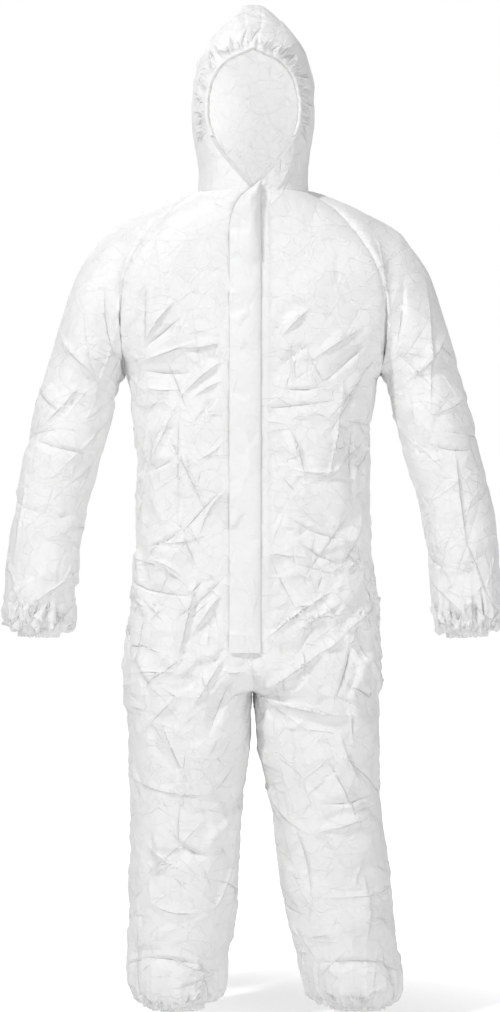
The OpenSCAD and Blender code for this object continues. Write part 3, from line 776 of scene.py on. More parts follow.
refine(hood, 2)
hood_base = coords(hood.data)
FACE_EDGE = np.array([HOOD_LINES[i][0] for i in range(2 * HOOD_SUB, FACE_ROWS)]) * MM
CROWN_FRONT = crown_rows()[0][::-1] * MM
FACE_LOOP = np.concatenate([FACE_EDGE * [-1, 1, 1], CROWN_FRONT, FACE_EDGE[::-1]])


def face_gathers(cloth):
    """Pleats that run out over the hood from the gathered edge of the face opening."""
    edge = even(FACE_LOOP, 150)
    way = directions(edge)
    tree = tree_of(cloth.co)
    for k in range(2, len(edge) - 2, 2):
        if edge[k, 2] < 0.10:
            continue
        reach = rng.uniform(0.010, 0.028)
        outward = unit_rows(0.7 * unit_rows((edge[k] - [0, 0, 0.17]) * [1, 0, 1]) + [0, 0.7, 0])
        start = tree.find(edge[k] + outward * 0.9 * reach)[1]
        along = outward + way[k] * rng.uniform(-0.45, 0.45)
        along = unit_rows(along - cloth.no[start] * (along @ cloth.no[start]))
        bow, width = rng.uniform(-12, 12), rng.uniform(0.0018, 0.0034)
        cloth.line(start, along, reach, bow, width, rng.choice([-1, 1, 1]) * rng.uniform(0.0010, 0.0026))


def hood_relief(co, no):
    loose = 1 - at_band(co)
    line, away = nearest(even(FACE_LOOP, 260), co)
    still = 1 - 0.8 * np.exp(-away / 0.02)
    behind = smooth(co[:, 1], 0.0, 0.05)
    cloth = Cloth(co, no)
    cloth.creases(70, 0.035, 0.0009, 0.003)
    cloth.creases(26, 0.09, 0.0024, 0.008)
    cloth.height *= (0.5 + 0.9 * behind) * still
    cloth.depth *= (0.5 + 0.9 * behind) * still
    face_gathers(cloth)
    cloth.mark(hood.data, loose)
    tilt = facets(co, 0.07, 3, 30) + facets(co, 0.03, 4, 30)
    height = cloth.height + still * (0.04 + 0.08 * behind) * tilt
    height = loose * (height + 0.0016 * noise_at(co, 0.08, 6))
    height += smooth(co[:, 2], 0.095, 0.12) * puckers(line, away, 0.0085, 0.0022, 0.012, 8)
    line, away = nearest(seam_points(hood.data), co)
    valley = 0.0007 * np.exp(-(away / 0.0022) ** 2)
    return height + loose * (puckers(line, away, 0.011, 0.0004, 0.012, 12) - valley)


displace(hood, hood_relief(hood_base, normals(hood.data)))
hood_final = coords(hood.data)


def follow(points, base, final):
    """points moved as the nearest points of the cloth were."""
    tree = tree_of(base)
    moved = []
    for p in points:
        found = tree.find_n(p, 4)
        share = np.array([1 / (f[2] + 1e-4) for f in found])
        steps = np.array([final[f[1]] - base[f[1]] for f in found])
        moved.append(p + share @ steps / share.sum())
    return np.array(moved)


# ---------- pieces
def new_object(name, points, faces, smooth_below=40):
    mesh = bpy.data.meshes.new(name)
    mesh.from_pydata([tuple(p) for p in points], [], faces)
    bm = bmesh.new()
    bm.from_mesh(mesh)
    bmesh.ops.recalc_face_normals(bm, faces=bm.faces)
    bm.to_mesh(mesh)
    bm.free()
    mesh.shade_smooth()
    mesh.set_sharp_from_angle(angle=math.radians(smooth_below))
    return linked(name, mesh)


CLOTH = 0.0007  # thickness in metres


def panel(source, label, name):
    """One panel cut out of the welded cloth, as a thin closed solid that keeps the pressed lines."""
    co, no = coords(source.data), normals(source.data)
    faces = [list(f.vertices) for f in source.data.polygons if f.material_index == label]
    used = sorted({v for f in faces for v in f})
    place = {v: i for i, v in enumerate(used)}
    faces = [[place[v] for v in f] for f in faces]
    edges = {(a, b) for f in faces for a, b in zip(f, f[1:] + f[:1])}
    rim = [(a, b) for a, b in edges if (b, a) not in edges]
    n = len(used)
    shell = faces + [[v + n for v in reversed(f)] for f in faces] + [[b, a, a + n, b + n] for a, b in rim]
    outer = co[used]
    obj = new_object(name, np.concatenate([outer, outer - no[used] * CLOTH]), shell, 50)
    for attribute in ("pressed_away", "pressed_depth"):
        values = np.zeros(len(co), np.float32)
        source.data.attributes[attribute].data.foreach_get("value", values)
        set_values(obj.data, attribute, np.tile(values[used], 2))
    obj.data.polygons.foreach_set("material_index", [0] * len(faces) + [1] * len(faces) + [0] * len(rim))
    return obj


def swept(name, path, out, up, profile, closed):
    """A solid whose section at each point of path is profile, in steps along out and up there."""
    profile = np.asarray(profile, float)
    if profile.ndim == 2:
        profile = np.repeat(profile[None], len(path), 0)
    points = path[:, None] + profile[..., :1] * out[:, None] + profile[..., 1:] * up[:, None]
    m, n = points.shape[:2]
    faces = [[i*n + j, (i+1) % m * n + j, (i+1) % m * n + (j+1) % n, i*n + (j+1) % n]
             for i in range(m if closed else m - 1) for j in range(n)]
    if not closed:
        faces += [list(range(n)), list(range((m-1) * n, m * n))]
    return new_object(name, points.reshape(-1, 3), faces)


def oval(half_out, half_up, corner=1.0, count=12):
    """A rounded section; a corner below 1 makes it squarer."""
    w = np.arange(count) * 2 * math.pi / count
    return np.stack([half_out * powered(np.cos(w), corner), half_up * powered(np.sin(w), corner)], 1)


def quads(m, n, at=0):
    """The faces of a grid of m rows of n points."""
    return [[at + i*n + j, at + (i+1)*n + j, at + (i+1)*n + j + 1, at + i*n + j + 1]
            for i in range(m - 1) for j in range(n - 1)]


def stitches(name, path, out, pitch=0.0036, length=0.0026, radius=0.0003):
    """A row of lockstitches: short threads that dip into the cloth between needle holes."""
    s = np.concatenate([[0], np.cumsum(np.linalg.norm(np.diff(path, axis=0), axis=1))])
    starts = np.arange(pitch / 2, s[-1] - length, pitch)
    w = np.arange(6) * math.pi / 3
    points, faces = [], []
    for start in starts:
        at = len(points)
        for k, r in enumerate((0.25, 1, 1, 0.25)):
            here = start + length * k / 3
            p = np.array([np.interp(here, s, path[:, i]) for i in range(3)])
            n = np.array([np.interp(here, s, out[:, i]) for i in range(3)])
            q = np.array([np.interp(here + 1e-4, s, path[:, i]) for i in range(3)]) - p
            side = np.cross(n, q)
            side /= np.linalg.norm(side)
            p = p + n * radius * (0.9 if r == 1 else -0.4)
            points.extend(p + radius * r * (np.cos(a) * n + np.sin(a) * side) for a in w)
        for k in range(3):
            low, high = at + 6 * k, at + 6 * k + 6
            faces.extend([low + j, high + j, high + (j+1) % 6, low + (j+1) % 6] for j in range(6))
        faces += [list(range(at, at + 6)), list(range(at + 18, at + 24))]
    return new_object(name, points, faces, 80)


def flap_cloth():
    """The storm flap: two layers of laminate, stitched down beside the zip and free on the other side."""
    table = np.array([
        [-802, 41, 8], [-640, 41, 8], [-480, 41, 8], [-320, 41, 8], [-200, 41, 9], [-120, 41, 11],
        [-62, 41, 15], [-44, 37, 15.5], [-28, 31, 15.5], [-12, 20, 15], [0, 5, 12], [8, -6, 7],
        [12, -11, 3]], float)
    levels = np.concatenate([np.arange(-802, -66, 4.0), np.arange(-66, 12.1, 2.0)])
    u = np.linspace(0, 1, 29)
    rows = []
    for z in levels:
        reach, off = np.interp(z, table[:, 0], table[:, 1]), np.interp(z, table[:, 0], table[:, 2])
        off *= 1 - 0.28 * smooth(-z, 90, 150)
        crown = off * np.sin(math.pi * u**0.75) ** 0.9
        rows.append(np.stack([mix(14, -reach, u), -122.8 - crown, np.full(29, z)], 1))
    outer = np.array(rows) * MM
    flat = outer.reshape(-1, 3)
    free = np.tile(u, len(levels))
    wave = 0.0012 * noise_at(flat, 0.06, 21) * free + (0.03 + 0.09 * free) * facets(flat, 0.045, 22, 30)
    level = np.repeat([[0.0, -1, 0]], len(flat), 0)
    cloth = Cloth(flat, level)
    cloth.creases(70, 0.04, 0.0007, 0.003)
    wave += cloth.height
    wave += 0.0006 * puckers(flat * [0, 1, 1], np.abs(flat[:, 0] - 0.014), 0.012, 1, 0.012, 23)
    flat = flat + np.array([0, -1, 0]) * wave[:, None]
    outer = flat.reshape(outer.shape)
    m, n = outer.shape[:2]
    to_side = np.minimum(np.arange(n), np.arange(n)[::-1])
    to_end = np.minimum(np.arange(m), np.arange(m)[::-1])
    rim = (to_side == 0) | (to_end == 0)[:, None]
    inner, outer = outer.copy(), outer.copy()
    inner[..., 1] += 0.0012 - 0.0004 * rim
    outer[..., 1] += 0.0003 * rim
    index = np.arange(m * n).reshape(m, n)
    loop = [*index[:, 0], *index[-1, 1:], *index[-2::-1, -1], *index[0, -2:0:-1]]
    faces = quads(m, n) + [f[:1] + f[:0:-1] for f in quads(m, n, m * n)]
    faces += [[int(v) for v in (a, b, b + m*n, a + m*n)] for a, b in zip(loop, loop[1:] + loop[:1])]
    both = np.concatenate([outer.reshape(-1, 3), inner.reshape(-1, 3)])
    obj = new_object("storm_flap_cloth", both, faces, 60)
    cloth.off, cloth.depth = np.tile(cloth.off, 2), np.tile(cloth.depth, 2)
    cloth.mark(obj.data)
    return obj, outer


def ring(axes, count):
    """Angles around an opening, and at each the directions outwards and up."""
    angle = np.arange(count) * 2 * math.pi / count
    out = np.cos(angle)[:, None] * axes[0] + np.sin(angle)[:, None] * axes[1]
    return angle, out, np.repeat(axes[2][None], count, 0)


def casing(name, middle, axes, radius, count, seed):
    """The turned edge of a wrist or ankle on its elastic: pleats, a rolled fold and an inner layer."""
    angle, out, up = ring(axes, 240)
    fold = pleats(angle, count, seed)
    small = np.sin(3.1 * count * angle + 4 * np.sin(2 * angle + seed))
    bulge = 0.0016 * fold + 0.0005 * small
    section = np.array([
        [0.0026, 0.0045], [0.0031, 0.0010], [0.0034, -0.0030], [0.0026, -0.0068], [0.0004, -0.0078],
        [-0.0016, -0.0066], [-0.0021, -0.0030], [-0.0020, 0.0020], [-0.0016, 0.0058], [0.0004, 0.0064]])
    profile = np.repeat(section[None], len(angle), 0)
    profile[..., 0] += bulge[:, None] * np.linspace(1, 0.5, 10)[None]
    profile[..., 0] += 0.0006 * small[:, None] * (section[None, :, 1] < -0.005)
    profile[..., 1] -= (0.0012 * fold + 0.0006 * small)[:, None] * (section[None, :, 1] < -0.002)
    return swept(name, np.array(middle) + radius * out, out, up, profile, closed=True)


def elastic_ring(name, middle, axes, radius, waves):
    """A flat elastic band around an opening, a little wavy."""
    angle, out, up = ring(axes, 200)
    path = np.array(middle) + (radius + 0.0004 * np.sin(waves * angle))[:, None] * out
    return swept(name, path, out, up, oval(0.0005, 0.004, 0.45, 12), closed=True)


def zip_coil(name, side, low, high):
    """A coil of nylon thread sewn along the tape's edge."""
    pitch, turn = 0.0019, 9
    steps = np.arange(int((high[2] - low[2]) / pitch) * turn)
    w = steps * 2 * math.pi / turn
    x = side * 0.00145 + side * 0.00125 * np.cos(w)
    y = (low[1] + high[1]) / 2 + 0.00095 * np.sin(w)
    path = np.stack([x, y, low[2] + 0.0004 + (steps / turn + 0.25 * side) * pitch], 1)
    t = directions(path)
    out = unit_rows(np.cross(t, [0, 0, 1]))
    return swept(name, path, out, np.cross(out, t), oval(0.00034, 0.00034, 1, 5), closed=False)


def tape(name, low, high):
    """A woven tape with a slightly wavy line and a corded edge."""
    z = np.linspace(low[2], high[2], 200)
    y = (low[1] + high[1]) / 2 + 0.00012 * np.sin(z * 160)
    path = np.stack([np.full(200, (low[0] + high[0]) / 2), y, z], 1)
    out = np.repeat([[0.0, -1, 0]], 200, 0)
    half = (high[0] - low[0]) / 2
    section = oval(0.00034, half, 0.35, 14)
    section[:, 0] *= 1 + 0.15 * np.abs(section[:, 1] / half) ** 8
    return swept(name, path, out, np.repeat([[1.0, 0, 0]], 200, 0), section, closed=False)


def ride_and_replace(obj, body, slot, *nodes):
    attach(obj, body)
    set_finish(obj, slot)
    if nodes:
        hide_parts(*nodes)


# radii in metres
WRIST_HEM, WRIST_BAND, ANKLE_HEM, ANKLE_BAND = 0.0334, 0.0308, 0.0474, 0.0448
pieces = {}
for label, name in enumerate(PANELS):
    pieces[name] = panel(hood if label > 5 else suit, label, name + "_cloth")
pieces["storm_flap"], flap_rows = flap_cloth()
for side, name in SIDES:
    wrist, ankle = (WRISTS[side], wrist_frame(side)), (ANKLES[side], UPRIGHT)
    pieces[name + "_wrist_casing"] = casing(name + "_wrist_hem", *wrist, WRIST_HEM, WRIST_PLEATS, side)
    pieces[name + "_ankle_casing"] = casing(name + "_ankle_hem", *ankle, ANKLE_HEM, ANKLE_PLEATS, side + 2)
    pieces[name + "_wrist_elastic"] = elastic_ring(name + "_wrist_band", *wrist, WRIST_BAND, 30)
    pieces[name + "_ankle_elastic"] = elastic_ring(name + "_ankle_band", *ankle, ANKLE_BAND, 42)

# Face opening: a hem rolled over its elastic, from one end of the zip over the forehead to the other
loop = even(FACE_LOOP, 420)
middle = np.array([0, 0.0, 0.17])
inward = unit_rows((middle - loop) * [1, 0, 1])
hem_path = follow(loop + inward * 0.0026 - [0, 0.0006, 0], hood_base, hood_final)
hem_way = directions(hem_path)
hem_out = unit_rows(square_to(hem_way, inward))
ripple = noise_at(loop, 0.0065, 31)
hem_size = 1 + 0.24 * ripple + 0.1 * noise_at(loop, 0.003, 32)
hem_profile = oval(0.0030, 0.0026, 0.8, 12)[None] * hem_size[:, None, None]
hem_up = np.cross(hem_out, hem_way)
pieces["face_opening_hem"] = swept("face_opening_roll", hem_path, hem_out, hem_up, hem_profile, closed=False)
band_path = hem_path + hem_out * 0.0042
band_profile = oval(0.0010, 0.0017, 0.6, 10)[None] * (1 + 0.12 * ripple)[:, None, None]
pieces["face_elastic"] = swept("face_opening_band", band_path, hem_out, hem_up, band_profile, closed=False)

# The zip goes on up the hood's front edges: a tape along each, with its coil
COIL_TURNS, COIL_STEPS = 62, 9
for side, name in SIDES:
    edge = even(np.array([HOOD_LINES[i][0] for i in range(2 * HOOD_SUB + 1)]) * MM, 80)
    inwards = unit_rows((np.array([0, 0, 0.14]) - edge) * [1, 0, 1])
    turn = np.array([side, 1, 1])
    way = directions(edge)
    forward = unit_rows(square_to(way, [0, -1.0, 0]) + 0.25 * inwards)
    width = unit_rows(np.cross(way, forward))
    width *= np.sign((width * inwards).sum(1))[:, None]
    centre = follow((edge + width * 0.0030 - forward * 0.0006) * turn, hood_base, hood_final)
    pieces["hood_zip_tape_" + name] = swept("hood_woven_tape_" + name, centre, forward * turn, width * turn,
                                            oval(0.0004, 0.0030, 0.4, 12), closed=False)
    w = np.arange(COIL_TURNS * COIL_STEPS) / COIL_STEPS * 2 * math.pi
    spot = np.linspace(0, len(centre) - 1, len(w))
    beside = centre + 0.0040 * width * turn
    line = np.stack([np.interp(spot, np.arange(len(centre)), beside[:, k]) for k in range(3)], 1)
    nearby = spot.round().astype(int)
    coil = line + 0.0011 * (np.cos(w)[:, None] * (width * turn)[nearby]
                            + np.sin(w)[:, None] * (forward * turn)[nearby])
    t = directions(coil)
    out = unit_rows(np.cross(t, directions(line)))
    pieces["hood_zip_coil_" + name] = swept("hood_zip_teeth_" + name, coil, out, np.cross(out, t),
                                            oval(0.0004, 0.0004, 1, 5), closed=False)

# The flap goes on over the wearer's left edge of the hood, up to where the elastic begins
columns = 6
rows = []
for i in range(2 * HOOD_SUB + 1):
    t = i / (2 * HOOD_SUB)
    line = HOOD_LINES[i] * MM
    across = np.linspace(-0.35, mix(4.4, 1.2, smooth(t, 0.1, 1)), columns)
    points = np.stack([np.interp(across, np.arange(len(line)), line[:, k]) for k in range(3)], 1)
    points[0] = line[0] - 0.35 * (line[1] - line[0])
    rows.append(points + unit_rows(points - np.array([0, 0.0, 0.1])) * 0.0030)
rows = np.array([rows[0] - [0, 0.0012, 0.014]] + rows)
rows[0, :, 0] += np.linspace(-0.004, 0, columns)
chin = new_object("chin_base", rows.reshape(-1, 3), quads(*rows.shape[:2]))
refine(chin, 3)
if normals(chin.data)[:, 1].mean() > 0:
    chin.data.flip_normals()
chin_co = coords(chin.data)
cloth = Cloth(chin_co, normals(chin.data))
cloth.creases(16, 0.035, 0.0008, 0.003)
cloth.mark(chin.data)
displace(chin, 0.05 * facets(chin_co, 0.03, 41, 30) + cloth.height + 0.001 * noise_at(chin_co, 0.04, 42))
pieces["chin_flap"] = panel(chin, 0, "chin_flap_cloth")
bpy.data.objects.remove(chin)

# Elastic sewn across the inside of the back waist
half_back = body_row(BACK, 500)[:, :2] * MM
run = np.c_[half_back[5:][::-1], np.zeros(len(half_back) - 5)]
waist = even(np.concatenate([run, (run * [-1, 1, 1])[::-1]]), 300)
waist = waist[np.abs(waist[:, 0]) < 0.17] + [0, 0, -0.5]
waist_way = directions(waist)
waist_out = unit_rows(np.cross(waist_way, [0, 0, 1]))
if waist_out[len(waist) // 2, 1] < 0:
    waist_out = -waist_out
waist = follow(waist - waist_out * 0.0022, suit_base, suit_final)
pieces["waist_elastic"] = swept("waist_band", waist, waist_out, np.repeat([[0.0, 0, 1]], len(waist), 0),
                                oval(0.0006, 0.0105, 0.4, 14), closed=False)

for side, name in SIDES:
    low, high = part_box("zip_coil_" + name)
    pieces["zip_coil_" + name] = zip_coil("zip_teeth_" + name, side, low, high)
    low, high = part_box("zip_tape_" + name)
    pieces["zip_tape_" + name] = tape("woven_tape_" + name, low, high)

# Stitching
threads = []


def sewn_on_suit(name, points, out):
    path = follow(points, suit_base, suit_final)
    threads.append((stitches(name, path + out * 0.0001, out), "torso"))


z = np.arange(-0.80, -0.02, 0.002)
front = np.repeat([[0.0, -1, 0]], len(z), 0)
flap_front = np.array([[0.0128, np.interp(h, flap_rows[:, 1, 2], flap_rows[:, 1, 1]), h] for h in z])
threads.append((stitches("flap_stitching", flap_front, front), "flap"))
below = z[z > -0.79]
facing = np.stack([np.full(len(below), 0.0265), np.full(len(below), -0.1195), below], 1)
sewn_on_suit("facing_stitching", facing, front[:len(below)])
for side, name in SIDES:
    for face, where in ((FRONT, "front"), (BACK, "back")):
        seam = even(np.array([raglan(face, t) for t in np.linspace(0.03, 1, 60)]) * [side, 1, 1] * MM, 200)
        way = directions(seam)
        out = unit_rows(seam - np.array([side * 0.12, 0, -0.17]))
        out = unit_rows(square_to(way, out))
        sewn_on_suit(name + "_raglan_stitching_" + where, seam + np.cross(way, out) * 0.003, out)
edge_stitch = follow(loop - inward * 0.006, hood_base, hood_final)
edge_out = unit_rows(edge_stitch - np.array([0, 0.02, 0.13]))
threads.append((stitches("face_opening_stitching", edge_stitch, edge_out), "hood"))

# ---------- materials
def material(name, colour, rough, **also):
    m = bpy.data.materials.new(name)
    m.use_nodes = True
    shader = m.node_tree.nodes["Principled BSDF"]
    shader.inputs["Base Color"].default_value = (*colour, 1)
    shader.inputs["Roughness"].default_value = rough
    for key, value in also.items():
        shader.inputs[key.replace("_", " ")].default_value = value
    return m, m.node_tree, shader


def node(tree, kind, **values):
    n = tree.nodes.new(kind)
    for key, value in values.items():
        if key in n.inputs:
            n.inputs[key].default_value = value
        else:
            setattr(n, key, value)
    return n


def coloured(tree, shader, fac, low, high, colour_low, colour_high, socket="Base Color"):
    """Drives a shader's colour, or its roughness, by a ramp between two values."""
    tree.links.new(ramp(tree, fac, low, high, colour_low, colour_high), shader.inputs[socket])


def place(tree):
    return tree.nodes.new("ShaderNodeTexCoord").outputs["Object"]


def texture(tree, kind, where, **values):
    n = node(tree, "ShaderNodeTex" + kind, **values)
    tree.links.new(where, n.inputs["Vector"])
    return n


def noise_node(tree, where, scale, detail=4.0, stretch=None):
    if stretch:
        mapping = tree.nodes.new("ShaderNodeMapping")
        mapping.inputs["Scale"].default_value = stretch
        tree.links.new(where, mapping.inputs["Vector"])
        where = mapping.outputs["Vector"]
    return texture(tree, "Noise", where, Scale=scale, Detail=detail).outputs["Fac"]


def ramp(tree, fac, low, high, colour_low, colour_high):
    r = tree.nodes.new("ShaderNodeValToRGB")
    r.color_ramp.elements[0].position, r.color_ramp.elements[1].position = low, high
    r.color_ramp.elements[0].color, r.color_ramp.elements[1].color = (*colour_low, 1), (*colour_high, 1)
    tree.links.new(fac, r.inputs["Fac"])
    return r.outputs["Color"]


def bumps(tree, shader, *layers):
    """Stacks bump maps: each layer is (height, strength, distance in metres)."""
    previous = None
    for height, strength, distance in layers:
        b = node(tree, "ShaderNodeBump", Strength=strength, Distance=distance)
        tree.links.new(height, b.inputs["Height"])
        if previous:
            tree.links.new(previous, b.inputs["Normal"])
        previous = b.outputs["Normal"]
    tree.links.new(previous, shader.inputs["Normal"])


def maths(tree, operation, a, b=None):
    n = node(tree, "ShaderNodeMath", operation=operation)
    for k, value in enumerate((a, b)):
        if isinstance(value, (int, float)):
            n.inputs[k].default_value = value
        elif value is not None:
            tree.links.new(value, n.inputs[k])
    return n.outputs["Value"]


def vector_maths(tree, operation, a, b):
    n = node(tree, "ShaderNodeVectorMath", operation=operation)
    tree.links.new(a, n.inputs[0])
    if isinstance(b, tuple):
        n.inputs[1].default_value = b
    else:
        tree.links.new(b, n.inputs[1])
    return n.outputs["Value" if operation == "DOT_PRODUCT" else "Vector"]


def wandering(tree, where, scale, reach):
    """Texture places that wander a little, so that what is drawn there isn't ruled straight."""
    colour = texture(tree, "Noise", where, Scale=scale, Detail=2).outputs["Color"]
    shift = vector_maths(tree, "SUBTRACT", colour, (0.5, 0.5, 0.5))
    return vector_maths(tree, "ADD", where, vector_maths(tree, "MULTIPLY", shift, (reach, reach, reach)))


def tilted_facets(tree, where, scale):
    """Height in metres of flat facets, each with its own slope, about 1 over scale metres wide."""
    cell = texture(tree, "Voronoi", where, Scale=scale)
    off = vector_maths(tree, "SUBTRACT", where, cell.outputs["Position"])
    slope = vector_maths(tree, "SUBTRACT", cell.outputs["Color"], (0.5, 0.5, 0.5))
    return vector_maths(tree, "DOT_PRODUCT", off, slope)


def crease_lines(tree, where, scale, width):
    """Thin creases along the edges of cells: 1 on a crease, 0 a width away, and fading out here and there."""
    edge = texture(tree, "Voronoi", where, Scale=scale, feature="DISTANCE_TO_EDGE")
    off = maths(tree, "MULTIPLY", edge.outputs["Distance"], 1 / (width * scale))
    line = maths(tree, "SUBTRACT", 1, maths(tree, "MINIMUM", off, 1))
    patches = maths(tree, "SUBTRACT", noise_node(tree, where, scale * 0.45, 2), 0.45)
    present = maths(tree, "MAXIMUM", maths(tree, "MULTIPLY", patches, 5), 0)
    return maths(tree, "MULTIPLY", line, maths(tree, "MINIMUM", present, 1))


def pressed_lines(tree, width):
    """A fine ridge or groove, width metres wide, along the lines pressed into the cloth."""
    away, depth = (node(tree, "ShaderNodeAttribute", attribute_name=name).outputs["Fac"]
                   for name in ("pressed_away", "pressed_depth"))
    fade = maths(tree, "EXPONENT", maths(tree, "MULTIPLY", maths(tree, "ABSOLUTE", away), -1 / width))
    return maths(tree, "MULTIPLY", fade, depth)


def laminate(name, light, dark, bond, crumpled, painted_glow=0.0):
    """Spunbond fabric with a film on it: crisp creases, tangled fibres, bonded dots, faint grey clouds, and
    an even emission of painted light when its strength is given.
    """
    # Emission here is painted light that makes the cloth glow, not a lamp
    m, tree, shader = material(name, light, 0.62, Sheen_Weight=0.08, Sheen_Roughness=0.5,
                               Emission_Color=(1, 1, 1, 1), Emission_Strength=painted_glow)
    at = place(tree)
    cloud = noise_node(tree, at, 9, 5)
    coloured(tree, shader, cloud, 0.35, 0.68, dark, light)
    grain = noise_node(tree, at, 60, 6)
    coloured(tree, shader, grain, 0.3, 0.7, (0.55,) * 3, (0.72,) * 3, "Roughness")
    fibres = noise_node(tree, at, 1, 8, (700, 700, 240))
    cross_fibres = noise_node(tree, at, 1, 6, (260, 260, 820))
    dots = texture(tree, "Voronoi", at, Scale=bond, Randomness=0.25)
    bent = wandering(tree, at, 9, 0.035)
    finely_bent = wandering(tree, at, 30, 0.012)
    bumps(tree, shader,
          (tilted_facets(tree, bent, 17), crumpled, 0.16),
          (tilted_facets(tree, finely_bent, 44), crumpled, 0.16),
          (crease_lines(tree, bent, 13, 0.0022), crumpled, 0.0008),
          (crease_lines(tree, finely_bent, 36, 0.0016), crumpled, 0.0006),
          (pressed_lines(tree, 0.0011), 1.0, 1.3),
          (noise_node(tree, at, 160, 5), 0.35, 0.0006), (fibres, 0.22, 0.0002),
          (cross_fibres, 0.16, 0.0002), (dots.outputs["Distance"], 0.12, 0.0003))
    return m


def woven(name, colour, dark, rough, rows, strength=0.5):
    """Yarns over and under: two crossing waves, with the yarn colour a little uneven."""
    m, tree, shader = material(name, colour, rough)
    at = place(tree)
    coloured(tree, shader, noise_node(tree, at, 90, 5), 0.3, 0.7, dark, colour)
    layers = []
    for direction in ("X", "Z"):
        wave = texture(tree, "Wave", at, Scale=rows, Distortion=0.6, bands_direction=direction)
        layers.append((wave.outputs["Fac"], strength, 0.0003))
    bumps(tree, shader, *layers, (noise_node(tree, at, 900, 4), 0.2, 0.0001))
    return m


def enamel(name):
    """White enamelled zinc: slightly orange-peeled, duller and greyer in patches."""
    m, tree, shader = material(name, (0.80, 0.80, 0.79), 0.3, Coat_Weight=0.3, Coat_Roughness=0.15)
    at = place(tree)
    wear = noise_node(tree, at, 420, 6)
    coloured(tree, shader, wear, 0.32, 0.5, (0.58, 0.58, 0.57), (0.82, 0.82, 0.81))
    patches = noise_node(tree, at, 260, 4)
    coloured(tree, shader, patches, 0.3, 0.7, (0.22,) * 3, (0.42,) * 3, "Roughness")
    bumps(tree, shader, (noise_node(tree, at, 1400, 3), 0.15, 0.0001))
    return m


MATERIALS = {
    "laminate": laminate("laminate", (0.908, 0.909, 0.905), (0.870, 0.871, 0.866), 620, 0.9),
    "flap": laminate("flap_fabric", (0.90, 0.902, 0.90), (0.865, 0.868, 0.867), 560, 0.5),
    "elastic_band": woven("elastic_band", (0.84, 0.83, 0.80), (0.76, 0.75, 0.72), 0.8, 420),
    "zip_tape": woven("zip_tape", (0.88, 0.88, 0.88), (0.82, 0.82, 0.825), 0.75, 700),
    "zip_coil": woven("zip_coil", (0.86, 0.86, 0.85), (0.80, 0.80, 0.79), 0.35, 1500, 0.1),
    "zip_metal": enamel("zip_metal"),
}
# Painted light on the inside: an even emission stands in for the light that comes through the thin cloth and
# keeps its inside bright
INSIDE = laminate("laminate_inside_painted_glow", (0.90, 0.902, 0.90), (0.86, 0.862, 0.86), 620, 1.3, 0.192)
THREAD = woven("thread", (0.87, 0.87, 0.865), (0.78, 0.78, 0.78), 0.6, 2400, 0.4)


def dress(obj, m, inside=None):
    for slot in range(len(obj.data.materials)):
        obj.data.materials[slot] = m
    while len(obj.data.materials) < (2 if inside else 1):
        obj.data.materials.append(inside if len(obj.data.materials) else m)


# ---------- what each piece moves with
def carry(body, slot, *names):
    """Pieces that move with a body and stand for the nodes of their own names."""
    for name in names:
        ride_and_replace(pieces[name], body, slot, name)


for side, name in SIDES:
    arm, leg = name + "_arm", name + "_leg"
    for face in ("front", "back"):
        cloth = pieces[f"{name}_{face}_panel"]
        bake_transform(cloth)
        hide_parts(f"{name}_{face}_panel", f"{name}_{face}_leg")
        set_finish(cloth, "laminate")
    sleeve = pieces[name + "_sleeve"]
    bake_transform(sleeve)
    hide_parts(name + "_sleeve_head", name + "_sleeve")
    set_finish(sleeve, "laminate")
    carry(arm, "laminate", name + "_wrist_casing")
    carry(arm, "elastic_band", name + "_wrist_elastic")
    carry(leg, "laminate", name + "_ankle_casing")
    carry(leg, "elastic_band", name + "_ankle_elastic")
    carry("torso", "zip_coil", "zip_coil_" + name)
    carry("torso", "zip_tape", "zip_tape_" + name)
carry("hood", "laminate", "hood_right_panel", "hood_left_panel", "hood_crown_panel", "face_opening_hem")
carry("hood", "elastic_band", "face_elastic")
for side, name in SIDES:
    carry("hood", "zip_tape", "hood_zip_tape_" + name)
    ride_and_replace(pieces["hood_zip_coil_" + name], "hood", "zip_coil")
ride_and_replace(pieces["chin_flap"], "hood", "flap")
carry("torso", "elastic_band", "waist_elastic")
carry("flap", "flap", "storm_flap")
for name, obj in pieces.items():
    dress(obj, MATERIALS[obj["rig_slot"]], INSIDE if name in PANELS or name == "chin_flap" else None)
for obj, body in threads:
    ride_and_replace(obj, body, "laminate")
    dress(obj, THREAD)
METAL_NODES = ("zip_slider", "zip_pull_tab", "zip_bottom_stop", "zip_top_stops")
for name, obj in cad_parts.items():
    if not obj.hide_render:
        dress(obj, MATERIALS["zip_metal" if name in METAL_NODES else "zip_tape"])
bpy.data.objects.remove(suit)
bpy.data.objects.remove(hood)

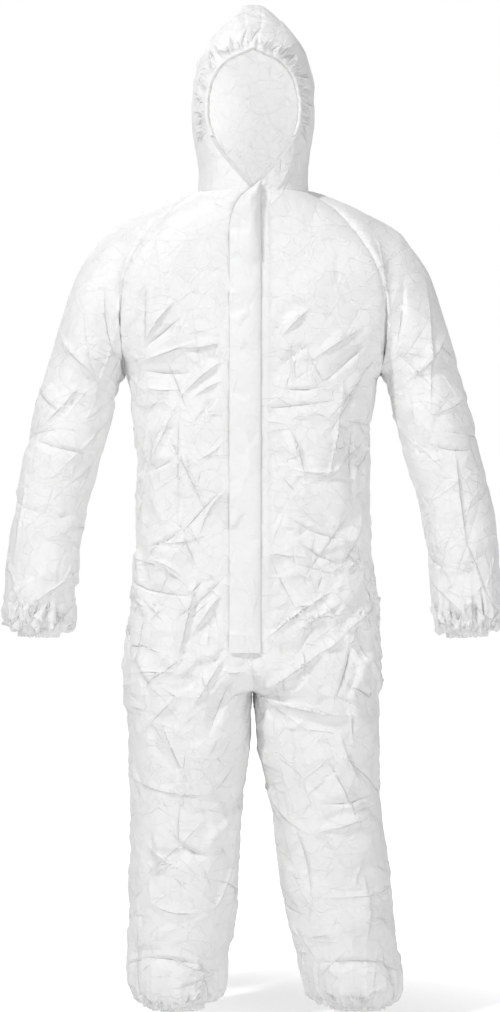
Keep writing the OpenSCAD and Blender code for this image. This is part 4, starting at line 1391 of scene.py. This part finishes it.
# ---------- floor and light
FLOOR_DROP = 0.03
floor_z = LOW[2] - FLOOR_DROP
floor_mesh = bpy.data.meshes.new("floor")
corners = ((-12, -8), (12, -8), (12, 14), (-12, 14))
floor_mesh.from_pydata([(x, y, floor_z) for x, y in corners], [], [(0, 1, 2, 3)])
floor = linked("floor", floor_mesh)
floor_material, tree, shader = material("floor", (0.93,) * 3, 0.9, Emission_Color=(1, 1, 1, 1))
coloured(tree, shader, noise_node(tree, place(tree), 3, 3), 0.3, 0.7, (0.925,) * 3, (0.935,) * 3)
outwards = node(tree, "ShaderNodeVectorMath", operation="LENGTH")
tree.links.new(vector_maths(tree, "MULTIPLY", place(tree), (1, 1, 0)), outwards.inputs[0])
far_back = node(tree, "ShaderNodeMapRange", interpolation_type="SMOOTHSTEP")
for key, value in (("From Min", 0.25), ("From Max", 1.0), ("To Min", 0.25), ("To Max", 0.75)):
    far_back.inputs[key].default_value = value
tree.links.new(outwards.outputs["Value"], far_back.inputs["Value"])
seen_directly = tree.nodes.new("ShaderNodeLightPath").outputs["Is Camera Ray"]
only_seen = maths(tree, "MULTIPLY", far_back.outputs["Result"], seen_directly)
tree.links.new(only_seen, shader.inputs["Emission Strength"])
dress(floor, floor_material)


def area_light(name, where, size, power, target=(0, 0, -0.5)):
    light = bpy.data.lights.new(name, "AREA")
    light.shape = "DISK"
    light.size, light.energy = size, power
    obj = linked(name, light)
    obj.location = where
    obj.rotation_euler = (Vector(target) - Vector(where)).to_track_quat("-Z", "Y").to_euler()


area_light("key", (-2.2, -2.4, 3.0), 0.4, 112)
area_light("fill", (2.6, -4.6, 0.2), 2.0, 54)
area_light("low", (0.3, -2.0, -1.3), 1.0, 2.5, (0, 0, -1.3))
area_light("back", (-1.6, 3.8, 2.4), 2.0, 60)
area_light("back_right", (2.8, 2.6, 1.2), 2.0, 12)

DAYLIGHT = 0.375
world = bpy.data.worlds.new("studio")
bpy.context.scene.world = world
world.use_nodes = True
background = world.node_tree.nodes["Background"]
background.inputs["Color"].default_value = (1, 1, 1, 1)
background.inputs["Strength"].default_value = DAYLIGHT
seen = node(world.node_tree, "ShaderNodeBackground", Color=(1, 1, 1, 1), Strength=1.0)
path_kind = world.node_tree.nodes.new("ShaderNodeLightPath")
blend_worlds = world.node_tree.nodes.new("ShaderNodeMixShader")
links = world.node_tree.links
links.new(path_kind.outputs["Is Camera Ray"], blend_worlds.inputs["Fac"])
links.new(background.outputs["Background"], blend_worlds.inputs[1])
links.new(seen.outputs["Background"], blend_worlds.inputs[2])
links.new(blend_worlds.outputs["Shader"], world.node_tree.nodes["World Output"].inputs["Surface"])
bpy.context.scene.view_settings.view_transform = "Standard"
